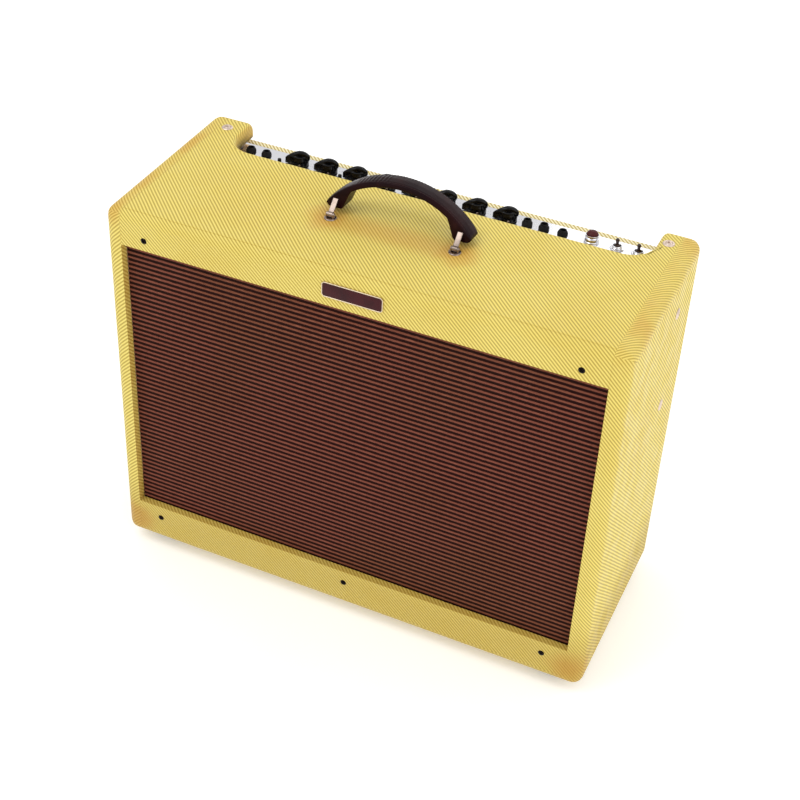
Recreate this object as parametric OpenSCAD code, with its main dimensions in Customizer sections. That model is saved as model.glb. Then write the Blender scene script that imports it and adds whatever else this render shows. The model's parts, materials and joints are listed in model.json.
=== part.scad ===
// Open-backed guitar combo amplifier: a cloth-covered wooden cabinet with one
// twelve-inch loudspeaker and a valve amplifier hung under the top.
// X runs to the right seen from the front, Y to the back and Z up.
// The origin is at the centre of the footprint, on the surface it stands on.

/* [Cabinet] */
// Width across the side boards
cab_w = 597; // [570:1:640]
// Depth at the bottom, from the front face to the back edge
cab_d = 255; // [245:1:275]
// Height of the covered box, without its feet
cab_h = 462; // [450:1:490]
// How far the top of the front face is set back
front_lean = 8.8; // [0:0.2:12]
// Thickness of the side boards
side_t = 20; // [18:0.5:24]
// Thickness of the top and bottom boards
board_t = 19; // [16:0.5:20]
// Rounding of the outer edges
edge_r = 12.7; // [8:0.1:14]
// Height of the rubber feet
foot_h = 14; // [8:1:20]

/* [Front] */
// Thickness of the front rails, which is the depth that the cloth lies back
rail_t = 9.5; // [8:0.5:14]
// Height of the upper rail
upper_rail_h = 41.7; // [35:0.1:55]
// Height of the lower rail
lower_rail_h = 53.4; // [40:0.1:65]
// Thickness of the loudspeaker board
baffle_t = 12.7; // [9:0.1:18]
// Thickness of the grille cloth
cloth_t = 1; // [0.6:0.1:1.5]
// Width of the badge
badge_w = 70; // [50:1:90]
// Height of the badge
badge_h = 18; // [12:1:22]

/* [Back] */
// Thickness of the back panels
panel_t = 9.5; // [6:0.5:12]
// Bottom edge of the upper back panel, above the floor
upper_panel_low = 345; // [330:1:360]
// Top edge of the upper back panel, above the floor
upper_panel_high = 451; // [440:1:455]
// Top edge of the lower back panel, above the floor
lower_panel_high = 172; // [120:1:200]

/* [Controls] */
// Half the width of the cut-out above the control panel
cutout_half_w = 252; // [245:1:254]
// How far the cut-out's middle stands right of the cabinet's
cutout_x = 4; // [-4:0.5:4]
// Depth of the cut-out, measured from the back edge
cutout_d = 66.9; // [60:0.1:75]
// Radius of the cut-out's front corners
cutout_r = 30; // [15:1:40]
// Slope of the control panel, down towards the back
panel_slope = 5; // [0:0.5:6]
// Depth of the chassis below the control panel
chassis_d = 66; // [60:1:70]
// Distance between neighbouring knobs
knob_pitch = 37; // [34:0.1:37.3]
// Height of a knob above the control panel
knob_h = 16; // [15.5:0.5:18]

/* [Handle] */
// Length of the handle strap, end to end
strap_l = 168; // [160:1:180]
// Width of the handle strap
strap_w = 24; // [20:1:28]
// Thickness of the handle strap at its middle
strap_t = 7.6; // [6:0.1:10]
// Top of the handle above the cabinet's top
handle_rise = 52.5; // [45:0.5:60]
// Distance between the two handle posts
post_span = 145; // [140:1:150]

/* [Loudspeaker] */
// Radius of the loudspeaker's rim
rim_r = 154.5; // [150:0.5:156]
// Height of the loudspeaker's centre above the floor
speaker_z = 206; // [200:1:215]
// Radius of the magnet
magnet_r = 68; // [55:1:75]

/* [Hidden] */
$fn = 72;
fit_gap = 0.05;
through = 400;

// Outer box
base_z = foot_h;
top_z = foot_h + cab_h;
front_y = -cab_d / 2;
back_y = cab_d / 2;
inner_w = cab_w - 2 * side_t;
slope = front_lean / cab_h;
lean = atan(slope);

// Cabinet front
rail_screw_x = 249.2;
lower_screw_z = base_z + 36.4;
upper_screw_z = top_z - 29.3;
badge_z = top_z - 21.5;
screw_head_r = 3.7;
screw_head_h = 1.8;
screw_shank_r = 1.9;
screw_hole_r = 2;
baffle_low = base_z + board_t + 1;
baffle_high = top_z - board_t - 1;
baffle_gap = 1;

// Cabinet back
panel_recess = 1;
panel_face_y = back_y - panel_recess;
cleat_t = 19;
cleat_x = inner_w / 2 - cleat_t / 2;
cleat_high = upper_panel_high - 12;
panel_screw_z = [430, 366, 150, 62];
foot_x = cab_w / 2 - 42;
foot_y = cab_d / 2 - 36;

// Chassis and control panel
sheet_t = 1.5;
panel_y = 99;
panel_z = top_z - 23.7;
chassis_front = -49;
chassis_back = 18;
chassis_half_w = 255;
bolt_x = 268;
bolt_y = 97.6;
side_screw = [[54.6, 422], [48.6, 303]];

// Things on the control panel, left to right
knob_x = [for (i = [0:7]) -174 + i * knob_pitch];
knob_rest_angle = -160;
input_jack_x = [-237.6, -217.4];
loop_jack_x = [108.4, 128, 150];
button_x = [knob_x[0] - 21, knob_x[2] - 17.2];
button_v = -9.5;
jewel_x = 183.4;
toggle_x = [212.4, 236.6];
toggle_pivot = 2.6;
toggle_tilt = 12;
bushing_r = 3.5;
shaft_r = 3;
jack_bushing_r = 4.6;
jack_bore_r = 3.3;
button_r = 2.2;
beak_x = 16.8;
toggle_pin_r = 0.9;

// Things under the chassis
preamp_tube_x = [-185, -130, -75];
power_tube_x = [38, 88];
output_core_x = -14;
power_core_x = 158;
inlet_x = 236;
fuse_x = 213;
tube_v = -12;
inlet_v = -16;
inlet_w = 16.6;
inlet_l = 24.6;
inlet_depth = 17;

// Loudspeaker, measured along its axis from the back of its board
rim_t = 6;
gasket_t = 1.5;
hole_r = 141;
cone_r = 124.6;
coil_r = 25.4;
basket_d = 70;
plate_t = 6;
magnet_t = 20;
bolt_circle_r = 148.5;

// Handle
strap_y = -1.4;
strap_tilt = 5;
strap_end_rise = 12;
strap_end_low = 5.2;
arch_h = handle_rise - strap_end_rise;
arch_r = (strap_l * strap_l / 4 + arch_h * arch_h) / (2 * arch_h);
post_y = -24.8;
pivot_rise = 4.6;
pin_r = 1.5;

tweed = [0.86, 0.76, 0.43];
cloth = [0.24, 0.11, 0.06];
pine = [0.80, 0.65, 0.44];
steel = [0.72, 0.72, 0.74];
chrome = [0.88, 0.88, 0.90];
black = [0.07, 0.07, 0.08];
oxblood = [0.22, 0.09, 0.09];

// Y of the front face at a height above the floor
function face_y(z) = front_y + slope * (z - base_z);

// ---- Placing ----

// Extrudes an outline drawn in Y and Z along X
module along_x(x0, x1) {
    translate([x0, 0, 0]) rotate([90, 0, 90]) linear_extrude(x1 - x0) children();
}

// Extrudes an outline drawn in X and Z along Y
module along_y(y0, y1) {
    translate([0, y1, 0]) rotate([90, 0, 0]) linear_extrude(y1 - y0) children();
}

// Local Z points out of the front face, local Y up along it
module on_front(x, z) {
    translate([x, face_y(z), z]) rotate([90 - lean, 0, 0]) children();
}

// Local Z points up out of the control panel, local Y down its slope
module on_panel(x, v) {
    translate([0, panel_y, panel_z]) rotate([-panel_slope, 0, 0])
        translate([x, v, 0]) children();
}

// Local Z points down out of the chassis' underside
module under_chassis(x, v) {
    on_panel(x, v) translate([0, 0, -chassis_d]) mirror([0, 0, 1]) children();
}

// Local Z points backwards along the loudspeaker's axis
module behind_baffle() {
    translate([0, face_y(speaker_z) + rail_t + cloth_t + baffle_t, speaker_z])
        rotate([-90 - lean, 0, 0]) children();
}

module block(low, high) {
    translate(low) cube(high - low);
}

module ring(outer, inner, low, high) {
    translate([0, 0, low]) difference() {
        cylinder(h = high - low, r = outer);
        translate([0, 0, -1]) cylinder(h = high - low + 2, r = inner);
    }
}

// Waste outside a rounded corner: its centre and the normals of its two sides
module corner_waste(centre, side_a, side_b) {
    reach = edge_r + 3;
    difference() {
        polygon([
            centre, centre + reach * side_a,
            centre + reach * (side_a + side_b), centre + reach * side_b
        ]);
        translate(centre) circle(edge_r);
    }
}

// ---- Cabinet ----

// Side view of the box: four rounded corners, the front leaning back
module side_profile() {
    k = sqrt(1 + slope * slope);
    low = base_z + edge_r;
    high = top_z - edge_r;
    front = [-1, slope] / k;
    difference() {
        polygon([
            [face_y(base_z), base_z], [face_y(top_z), top_z],
            [back_y, top_z], [back_y, base_z]
        ]);
        corner_waste([face_y(low) + edge_r * k, low], front, [0, -1]);
        corner_waste([face_y(high) + edge_r * k, high], front, [0, 1]);
        corner_waste([back_y - edge_r, low], [1, 0], [0, -1]);
        corner_waste([back_y - edge_r, high], [1, 0], [0, 1]);
    }
}

// Side view of a slab that follows the front face
module face_slab(depth0, depth1, z0, z1) {
    polygon([
        [face_y(z0) + depth0, z0], [face_y(z0) + depth1, z0],
        [face_y(z1) + depth1, z1], [face_y(z1) + depth0, z1]
    ]);
}

module rail_screw_places() {
    for (x = [-1, 0, 1]) on_front(x * rail_screw_x, lower_screw_z) children();
    for (x = [-1, 1]) on_front(x * rail_screw_x, upper_screw_z) children();
}

module rail_screw_holes() {
    rail_screw_places() translate([0, 0, -24]) cylinder(h = 40, r = screw_hole_r);
}

module side_screw_places(side) {
    for (place = side_screw)
        translate([side * cab_w / 2, place.x, place.y]) rotate([0, side * 90, 0]) children();
}

// Right side board, rounded along its four outer edges
module side_board() {
    edge_x = cab_w / 2 - edge_r;
    // The leaning edge is cut a hair shallow, so that its arc crosses both faces
    shy = 0.05;
    color(tweed) difference() {
        along_x(inner_w / 2, cab_w / 2) side_profile();
        translate([0, front_y, base_z]) rotate([-lean, 0, 0]) translate([0, 0, -20])
            linear_extrude(cab_h + 40)
                corner_waste([edge_x + shy, edge_r - shy], [1, 0], [0, -1]);
        linear_extrude(top_z + 20)
            corner_waste([edge_x, back_y - edge_r], [1, 0], [0, 1]);
        along_y(-cab_d, cab_d) corner_waste([edge_x, top_z - edge_r], [1, 0], [0, 1]);
        along_y(-cab_d, cab_d) corner_waste([edge_x, base_z + edge_r], [1, 0], [0, -1]);
        side_screw_places(1) translate([0, 0, -15]) cylinder(h = 30, r = screw_hole_r);
    }
}

module left_side_board() {
    mirror([1, 0, 0]) side_board();
}

module right_side_board() {
    side_board();
}

module top_board() {
    half = inner_w / 2;
    color(tweed) difference() {
        along_x(-half, half) intersection() {
            side_profile();
            face_slab(rail_t + fit_gap, 2 * cab_d, top_z - board_t, top_z + 1);
        }
        translate([0, back_y - cutout_d, top_z - 2 * board_t]) linear_extrude(3 * board_t)
            cutout_outline();
        for (x = [-1, 1])
            translate([x * bolt_x, bolt_y, top_z - 2 * board_t]) cylinder(h = 60, r = 3.1);
    }
}

// Plan of the cut-out above the controls, from its front edge backwards
module cutout_outline() {
    union() {
        translate([cutout_x - cutout_half_w, cutout_r]) square([2 * cutout_half_w, cab_d]);
        translate([cutout_x - cutout_half_w + cutout_r, 0])
            square([2 * (cutout_half_w - cutout_r), 2 * cutout_r]);
        for (side = [-1, 1])
            translate([cutout_x + side * (cutout_half_w - cutout_r), cutout_r]) circle(cutout_r);
    }
}

module bottom_board() {
    half = inner_w / 2;
    color(tweed) along_x(-half, half) intersection() {
        side_profile();
        face_slab(rail_t + fit_gap, 2 * cab_d, base_z - 1, base_z + board_t);
    }
}

module upper_rail() {
    half = inner_w / 2;
    color(tweed) difference() {
        along_x(-half, half) intersection() {
            side_profile();
            face_slab(-1, rail_t, top_z - upper_rail_h, top_z + 1);
        }
        rail_screw_holes();
    }
}

module lower_rail() {
    half = inner_w / 2;
    color(tweed) difference() {
        along_x(-half, half) intersection() {
            side_profile();
            face_slab(-1, rail_t, base_z - 1, base_z + lower_rail_h);
        }
        rail_screw_holes();
    }
}

module baffle_board() {
    half = inner_w / 2 - baffle_gap;
    color(pine) difference() {
        along_x(-half, half)
            face_slab(rail_t + cloth_t, rail_t + cloth_t + baffle_t, baffle_low, baffle_high);
        behind_baffle() translate([0, 0, -50]) cylinder(h = 100, r = hole_r);
        rail_screw_holes();
        behind_baffle() speaker_bolt_places()
            translate([0, 0, -50]) cylinder(h = 100, r = 2.6);
    }
}

module grille_cloth() {
    half = inner_w / 2 - baffle_gap;
    color(cloth) difference() {
        along_x(-half, half)
            face_slab(rail_t + fit_gap, rail_t + cloth_t, baffle_low, baffle_high);
        rail_screw_holes();
    }
}

// Plain plate with clipped corners and a raised edge
module badge_plate() {
    color(oxblood) on_front(0, badge_z) {
        linear_extrude(1.2) badge_outline(badge_w, badge_h);
        linear_extrude(1.7) difference() {
            badge_outline(badge_w, badge_h);
            badge_outline(badge_w - 2.4, badge_h - 2.4);
        }
    }
}

module badge_outline(w, h) {
    clip = 2.5;
    polygon([
        [-w / 2 + clip, -h / 2], [w / 2 - clip, -h / 2], [w / 2, -h / 2 + clip],
        [w / 2, h / 2 - clip], [w / 2 - clip, h / 2], [-w / 2 + clip, h / 2],
        [-w / 2, h / 2 - clip], [-w / 2, -h / 2 + clip]
    ]);
}

// Domed head on a straight shank that points down local Z
module domed_screw(head_r, head_h, shank_r, shank_l) {
    ball_r = (head_r * head_r + head_h * head_h) / (2 * head_h);
    intersection() {
        translate([0, 0, head_h - ball_r]) sphere(ball_r);
        cylinder(h = head_h + 1, r = head_r + 1);
    }
    translate([0, 0, -shank_l]) cylinder(h = shank_l + head_h / 2, r = shank_r);
}

module rail_screws() {
    color(black) rail_screw_places()
        domed_screw(screw_head_r, screw_head_h, screw_shank_r, 22);
}

// Screw standing in a dished washer
module cup_washer_screw(shank_r, shank_l) {
    difference() {
        cylinder(h = 1.3, r1 = 6.6, r2 = 5);
        translate([0, 0, 0.6]) cylinder(h = 2, r = 4);
    }
    translate([0, 0, 0.6]) domed_screw(3.8, 1.4, shank_r, shank_l);
}

module cup_washer_screws() {
    color(steel) {
        for (x = [-1, 1]) translate([x * bolt_x, bolt_y, top_z]) {
            cup_washer_screw(3, board_t + 6);
            ring(5, 3, -board_t - 6, -board_t - 2);
        }
        for (side = [-1, 1]) side_screw_places(side) cup_washer_screw(screw_shank_r, 14);
    }
}

module panel_screw_places() {
    for (x = [-1, 1], z = panel_screw_z)
        translate([x * cleat_x, panel_face_y, z]) rotate([-90, 0, 0]) children();
}

module panel_screw_holes() {
    panel_screw_places() translate([0, 0, -26]) cylinder(h = 40, r = screw_hole_r);
}

module back_panel(low, high) {
    half = inner_w / 2 - 0.3;
    color(tweed) difference() {
        block([-half, panel_face_y - panel_t, low], [half, panel_face_y, high]);
        panel_screw_holes();
    }
}

module upper_back_panel() {
    back_panel(upper_panel_low, upper_panel_high);
}

module lower_back_panel() {
    back_panel(base_z + board_t, lower_panel_high);
}

// Wooden strips inside the side boards that the back panels screw to
module panel_cleats() {
    front = panel_face_y - panel_t - cleat_t;
    color(pine) difference() {
        for (side = [-1, 1]) {
            x = side * cleat_x;
            block([x - cleat_t / 2, front, base_z + board_t],
                [x + cleat_t / 2, front + cleat_t, cleat_high]);
        }
        panel_screw_holes();
    }
}

// The heads stand as far out of the back as the rail screws do in front
module back_panel_screws() {
    head_h = panel_recess - (face_y(lower_screw_z) - front_y) + screw_head_h;
    color(steel) panel_screw_places()
        domed_screw(screw_head_r, head_h, screw_shank_r, 22);
}

module rubber_feet() {
    color(black) for (x = [-1, 1], y = [-1, 1]) translate([x * foot_x, y * foot_y, 0])
        difference() {
            cylinder(h = foot_h, r1 = 15, r2 = 17.5);
            translate([0, 0, -1]) cylinder(h = 7, r = 5);
        }
}

// ---- Chassis ----

module chassis_pan() {
    bracket_low = panel_z - 22;
    arm_z = top_z - board_t;
    color(steel) difference() {
        union() {
            on_panel(0, 0) difference() {
                block([-chassis_half_w, chassis_front, -chassis_d],
                    [chassis_half_w, chassis_back, -sheet_t]);
                block([-chassis_half_w + sheet_t, chassis_front + sheet_t, -chassis_d + sheet_t],
                    [chassis_half_w - sheet_t, chassis_back - sheet_t, 1]);
            }
            for (side = [-1, 1]) {
                wall = side * (chassis_half_w + 0.6);
                ear = side * (chassis_half_w + 11);
                block([wall - 1, 82, bracket_low], [wall + 1, 112, arm_z]);
                block([ear - 11, 82, arm_z - 2], [ear + 11, 112, arm_z]);
            }
        }
        for (x = [-1, 1])
            translate([x * bolt_x, bolt_y, arm_z - 10]) cylinder(h = 20, r = 3.1);
        under_chassis(inlet_x, inlet_v)
            block([-inlet_w / 2 - 1.8, -inlet_l / 2 - 1.8, -5], [inlet_w / 2 + 1.8, inlet_l / 2 + 1.8, 5]);
        under_chassis(fuse_x, inlet_v + 20) translate([0, 0, -5]) cylinder(h = 10, r = 5.6);
    }
}

// Sloping chromed plate that closes the chassis and holds the controls
module control_panel() {
    color(chrome) difference() {
        on_panel(0, 0) block([-chassis_half_w + 0.6, chassis_front, -sheet_t],
            [chassis_half_w - 0.6, chassis_back, 0]);
        for (x = knob_x) panel_hole(x, 0, bushing_r + fit_gap);
        for (x = concat(input_jack_x, loop_jack_x)) panel_hole(x, 0, jack_bushing_r + fit_gap);
        for (x = button_x) panel_hole(x, button_v, button_r + 1.5 + fit_gap);
        for (x = toggle_x) panel_hole(x, 0, 5.9 + fit_gap);
        panel_hole(jewel_x, 0, 6.5 + fit_gap);
    }
}

module panel_hole(x, v, r) {
    on_panel(x, v) translate([0, 0, -5]) cylinder(h = 10, r = r);
}

// Jack: a body under the panel, a threaded bushing through it and a bore
// for a 6.35 mm plug
module phone_jack(bushing_h) {
    depth = 24;
    color(black) difference() {
        union() {
            block([-9, -10, -depth], [9, 10, -sheet_t]);
            translate([0, 0, -2]) cylinder(h = bushing_h + 2, r = jack_bushing_r);
        }
        translate([0, 0, -depth + 2]) cylinder(h = depth + bushing_h, r = jack_bore_r);
    }
}

module input_jacks() {
    for (x = input_jack_x) on_panel(x, 0) phone_jack(5.5);
}

module loop_jacks() {
    for (i = [0:2]) on_panel(loop_jack_x[i], 0) phone_jack(i < 2 ? 7 : 5.5);
}

// Six-sided nuts on the potentiometers, round ones on the jacks
module panel_nuts() {
    color(steel) for (x = knob_x) on_panel(x, 0) difference() {
        cylinder(h = 2, r = 5.4, $fn = 6);
        translate([0, 0, -1]) cylinder(h = 4, r = bushing_r + fit_gap);
    }
    color(black) for (x = concat(input_jack_x, loop_jack_x)) on_panel(x, 0) difference() {
        cylinder(h = 4, r1 = 6, r2 = 5.3);
        translate([0, 0, -1]) cylinder(h = 6, r = jack_bushing_r + fit_gap);
    }
}

module potentiometers() {
    color(steel) for (x = knob_x) on_panel(x, 0) difference() {
        union() {
            translate([0, 0, -11]) cylinder(h = 11 - sheet_t, r = 8.5);
            translate([0, 0, -2]) cylinder(h = 7, r = bushing_r);
        }
        translate([0, 0, -10]) cylinder(h = 20, r = shaft_r + fit_gap);
    }
}

// Pointer knob on the shaft that it turns: a round foot under a fin, which is sharp at
// its tip and hangs over the foot with its round back
module pointer_knob(i) {
    foot = 0.8;
    color(black) on_panel(knob_x[i], 0) rotate([0, 0, knob_rest_angle]) {
        difference() {
            union() {
                translate([0, 0, foot]) cylinder(h = 3.3, r1 = 11, r2 = 10.6);
                translate([0, 0, foot]) cylinder(h = 10, r1 = 9.4, r2 = 7);
                intersection() {
                    linear_extrude(knob_h) union() {
                        translate([-8.3, 0]) circle(3.8);
                        polygon([
                            [-8.3, -3.8], [6, -3.8], [beak_x, -0.8],
                            [beak_x, 0.8], [6, 3.8], [-8.3, 3.8]
                        ]);
                    }
                    along_y(-20, 20) polygon([
                        [-8, foot], [beak_x, foot], [beak_x, 7.2], [12.6, 10.8],
                        [7.5, knob_h - 2], [3, knob_h - 0.4], [-2, knob_h], [-6, knob_h - 0.6],
                        [-10.4, knob_h - 3.4], [-12.1, knob_h - 6], [-11.4, 5.6], [-8, 5]
                    ]);
                }
            }
            translate([0, 0, -1]) cylinder(h = 7.5, r = 6.6);
        }
        translate([0, 0, -9]) cylinder(h = 17, r = shaft_r);
    }
}

module volume_knob() {
    pointer_knob(0);
}

module drive_knob() {
    pointer_knob(1);
}

module treble_knob() {
    pointer_knob(2);
}

module bass_knob() {
    pointer_knob(3);
}

module middle_knob() {
    pointer_knob(4);
}

module master_knob() {
    pointer_knob(5);
}

module reverb_knob() {
    pointer_knob(6);
}

module presence_knob() {
    pointer_knob(7);
}

// Round push button, pressed down into its switch
module push_button(i) {
    color(black) on_panel(button_x[i], button_v) {
        translate([0, 0, -8]) cylinder(h = 12.8, r = button_r);
        translate([0, 0, 4.7]) cylinder(h = 0.8, r1 = button_r, r2 = button_r - 0.6);
    }
}

module bright_button() {
    push_button(0);
}

module select_button() {
    push_button(1);
}

module button_switches() {
    color(steel) for (x = button_x) on_panel(x, button_v) difference() {
        union() {
            block([-5, -5, -13], [5, 5, -sheet_t]);
            translate([0, 0, -2]) cylinder(h = 2.5, r = button_r + 1.5);
        }
        translate([0, 0, -12]) cylinder(h = 20, r = button_r + fit_gap);
    }
}

module toggle_switches() {
    color(chrome) for (x = toggle_x) on_panel(x, 0) difference() {
        union() {
            block([-7, -14, -20], [7, 14, -sheet_t]);
            translate([0, 0, -2]) cylinder(h = 6.4, r = 5.9);
            cylinder(h = 1.4, r = 8.4, $fn = 6);
        }
        translate([0, 0, -2]) cylinder(h = 20, r = 4.6);
        toggle_pin(5.5, toggle_pin_r + fit_gap);
    }
}

// Round bar along the axis that the lever turns on
module toggle_pin(half, r) {
    translate([-half, 0, toggle_pivot]) rotate([0, 90, 0]) cylinder(h = 2 * half, r = r);
}

// Bat lever: a ball on its pin and a stem that thickens towards its tip
module bat_lever(i) {
    color(chrome) on_panel(toggle_x[i], 0) {
        toggle_pin(5.3, toggle_pin_r);
        translate([0, 0, toggle_pivot]) rotate([toggle_tilt, 0, 0]) {
            sphere(3.9);
            cylinder(h = 9, r1 = 1.6, r2 = 2.2);
            translate([0, 0, 9]) sphere(2.2);
        }
    }
}

module standby_lever() {
    bat_lever(0);
}

module power_lever() {
    bat_lever(1);
}

module jewel_bezel() {
    color(chrome) on_panel(jewel_x, 0) difference() {
        union() {
            translate([0, 0, -14]) cylinder(h = 15, r = 6.5);
            cylinder(h = 2, r = 8.6);
            cylinder(h = 9.5, r = 7.7);
        }
        translate([0, 0, -12]) cylinder(h = 18, r = 5.5);
        translate([0, 0, 5.9]) cylinder(h = 5, r = 6.9);
    }
}

module jewel_lens() {
    color([0.45, 0.02, 0.03]) on_panel(jewel_x, 0) {
        translate([0, 0, 6]) cylinder(h = 4.5, r = 6.8);
        translate([0, 0, 10.5]) cylinder(h = 2.5, r1 = 6.8, r2 = 4.4);
        translate([0, 0, 13]) cylinder(h = 1, r1 = 4.4, r2 = 1.5);
    }
}

module circuit_board() {
    color([0.16, 0.34, 0.22]) on_panel(0, 0)
        block([-204, chassis_front + 5, -19.6], [98, chassis_back - 4, -18]);
}

module filter_capacitors() {
    color([0.15, 0.2, 0.45]) for (i = [0:3]) on_panel(-20 + i * 26, -38)
        translate([0, 0, -28.8]) rotate([-90, 0, 0]) cylinder(h = 42, r = 9);
}

// Stacked iron between two pressed covers
module transformer(w, l, h) {
    cover = h * 0.3;
    block([-w / 2 + 4, -l / 2 + 5, 0], [w / 2 - 4, l / 2 - 5, h]);
    block([-w / 2, -l / 2, cover], [w / 2, l / 2, h - cover]);
}

module power_transformer() {
    color(black) under_chassis(power_core_x, -15) transformer(84, 62, 76);
}

module output_transformer() {
    color(black) under_chassis(output_core_x, -15) transformer(52, 46, 48);
}

module tube_sockets() {
    color(black) {
        for (x = preamp_tube_x) under_chassis(x, tube_v) cylinder(h = 6, r = 11);
        for (x = power_tube_x) under_chassis(x, tube_v) cylinder(h = 6, r = 15);
    }
}

module preamp_tubes() {
    color([0.75, 0.8, 0.85]) for (x = preamp_tube_x) under_chassis(x, tube_v) {
        translate([0, 0, 6]) cylinder(h = 38, r = 10.4);
        translate([0, 0, 44]) cylinder(h = 6, r1 = 10.4, r2 = 4);
        translate([0, 0, 50]) cylinder(h = 4, r1 = 4, r2 = 1);
    }
}

module tube_shields() {
    color(steel) for (x = preamp_tube_x) under_chassis(x, tube_v) {
        ring(12.4, 11.5, 0, 50);
        ring(12.4, 6, 50, 51);
    }
}

module power_tubes() {
    for (x = power_tube_x) under_chassis(x, tube_v) {
        color(black) translate([0, 0, 6]) cylinder(h = 20, r = 16);
        color([0.75, 0.8, 0.85]) {
            translate([0, 0, 26]) cylinder(h = 52, r = 17.6);
            translate([0, 0, 78]) cylinder(h = 10, r1 = 17.6, r2 = 10);
            translate([0, 0, 88]) cylinder(h = 3, r1 = 10, r2 = 2);
        }
    }
}

// Three-pin mains inlet facing down, reached through the open back
module mains_inlet() {
    half_w = inlet_w / 2;
    half_l = inlet_l / 2;
    wall = 1.6;
    color(black) under_chassis(inlet_x, inlet_v) {
        difference() {
            union() {
                block([-half_w - 2.7, -half_l - 10, 0], [half_w + 2.7, half_l + 10, 3]);
                block([-half_w - wall, -half_l - wall, 1 - inlet_depth],
                    [half_w + wall, half_l + wall, 1]);
            }
            block([-half_w, -half_l, 3 - inlet_depth], [half_w, half_l, 5]);
        }
        for (y = [-7, 0, 7]) {
            x = y == 0 ? 2 : -2;
            block([x - 1, y - 2, 2 - inlet_depth], [x + 1, y + 2, -4]);
        }
    }
}

module fuse_holder() {
    color(black) under_chassis(fuse_x, inlet_v + 20) {
        cylinder(h = 9, r = 7);
        translate([0, 0, -28]) cylinder(h = 29, r = 5.5);
    }
}

// Folded steel tray with its spring unit, standing on the bottom board
module reverb_tank() {
    low = base_z + board_t;
    color(steel) difference() {
        block([-215, 2, low], [215, 108, low + 34]);
        block([-213, 4, low - 1], [213, 106, low + 32]);
    }
    color([0.5, 0.5, 0.5]) {
        for (side = [-1, 1]) block([side * 195 - 12, 25, low + 6], [side * 195 + 12, 85, low + 32]);
        for (y = [38, 55, 72]) translate([-184, y, low + 18]) rotate([0, 90, 0])
            cylinder(h = 368, r = 2.2);
    }
}

// ---- Loudspeaker ----

module speaker_bolt_places() {
    for (i = [0:7]) rotate([0, 0, 22.5 + i * 45]) translate([bolt_circle_r, 0, 0]) children();
}

// Basket: a flanged rim, eight sloping spokes and a flat back with a ledge for the spider
module speaker_frame() {
    wall_end = 22;
    wall_r = 123.4;
    hub_r = 72;
    color(steel) behind_baffle() {
        difference() {
            rotate_extrude() polygon([
                [137, gasket_t], [rim_r, gasket_t], [rim_r, gasket_t + 2], [141, gasket_t + 2],
                [139, gasket_t + rim_t], [wall_r, wall_end], [wall_r - 2.5, wall_end],
                [137, gasket_t + rim_t - 1]
            ]);
            speaker_bolt_places() cylinder(h = 20, r = 2.6);
        }
        for (i = [0:7]) rotate([0, 0, 22.5 + i * 45]) along_y(-14, 14) polygon([
            [wall_r, wall_end + fit_gap], [hub_r, basket_d - 6],
            [hub_r - 2, basket_d - 7.4], [wall_r - 2.5, wall_end + fit_gap]
        ]);
        rotate_extrude() polygon([
            [hub_r + 0.5, basket_d - 6 + fit_gap], [hub_r - 3, basket_d], [29, basket_d],
            [29, basket_d - 2], [66, basket_d - 2], [66, 60.5], [hub_r - 1.5, 60.5],
            [hub_r - 1.2, basket_d - 6 + fit_gap]
        ]);
    }
}

// Half-round rolls between the rim and the cone
module speaker_surround() {
    flat_t = 0.8;
    low = gasket_t - flat_t;
    color(black) behind_baffle() rotate_extrude() {
        translate([137, low]) square([3.9, flat_t]);
        for (x = [128.3, 134]) translate([x, gasket_t]) difference() {
            circle(3.2);
            circle(3.2 - flat_t);
            translate([-5, 0]) square([10, 5]);
        }
        translate([125, low]) square([0.9, flat_t]);
    }
}

// Thin paper cone, deepest at its neck
module speaker_cone() {
    color([0.13, 0.12, 0.11]) behind_baffle() rotate_extrude() polygon([
        [cone_r, 0.7], [cone_r, 1.5], [cone_r - 2, 2], [80, 28], [40, 47], [coil_r + 0.2, 56],
        [coil_r + 0.2, 55], [40, 46], [80, 27], [cone_r - 2, 1], [cone_r - 1, 0.7]
    ]);
}

module dust_cap() {
    cap_r = 36;
    color([0.16, 0.15, 0.14]) behind_baffle() rotate_extrude() intersection() {
        translate([0, 68.4]) difference() {
            circle(42);
            circle(41.2);
        }
        square([cap_r, 47.6]);
    }
}

module voice_coil() {
    color([0.7, 0.45, 0.25]) behind_baffle() ring(coil_r, coil_r - 0.8, 52, 88);
}

module speaker_spider() {
    color([0.75, 0.6, 0.35]) behind_baffle() rotate_extrude() {
        for (i = [0:4]) translate([30.5 + i * 7, 60]) difference() {
            circle(3.9);
            circle(3.1);
            translate([-5, i % 2 == 0 ? -5 : 0]) square([10, 5]);
        }
        translate([61, 59.6]) square([9.2, 0.8]);
    }
}

// Front plate, ring magnet and yoke with its centre pole
module speaker_magnet() {
    front = basket_d;
    magnet_low = front + plate_t;
    back = magnet_low + magnet_t;
    behind_baffle() {
        color(steel) ring(magnet_r - 6, coil_r + 0.8, front, magnet_low);
        color(black) ring(magnet_r, 34, magnet_low, back);
        color(steel) difference() {
            union() {
                translate([0, 0, back]) cylinder(h = plate_t, r = magnet_r - 8);
                translate([0, 0, front]) cylinder(h = back - front + 1, r = coil_r - 1.6);
            }
            translate([0, 0, front - 1]) cylinder(h = through, r = 8);
        }
    }
}

module speaker_bolts() {
    color(steel) behind_baffle() speaker_bolt_places() {
        translate([0, 0, -baffle_t + 0.5]) cylinder(h = baffle_t + 10, r = 2.5);
        translate([0, 0, gasket_t + 2]) cylinder(h = 4, r = 4.6, $fn = 6);
    }
}

// ---- Handle ----

// Local frame of the strap: X along it, Z up, leaning back a little
module strap_frame() {
    translate([0, strap_y, top_z]) rotate([-strap_tilt, 0, 0]) children();
}

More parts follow.
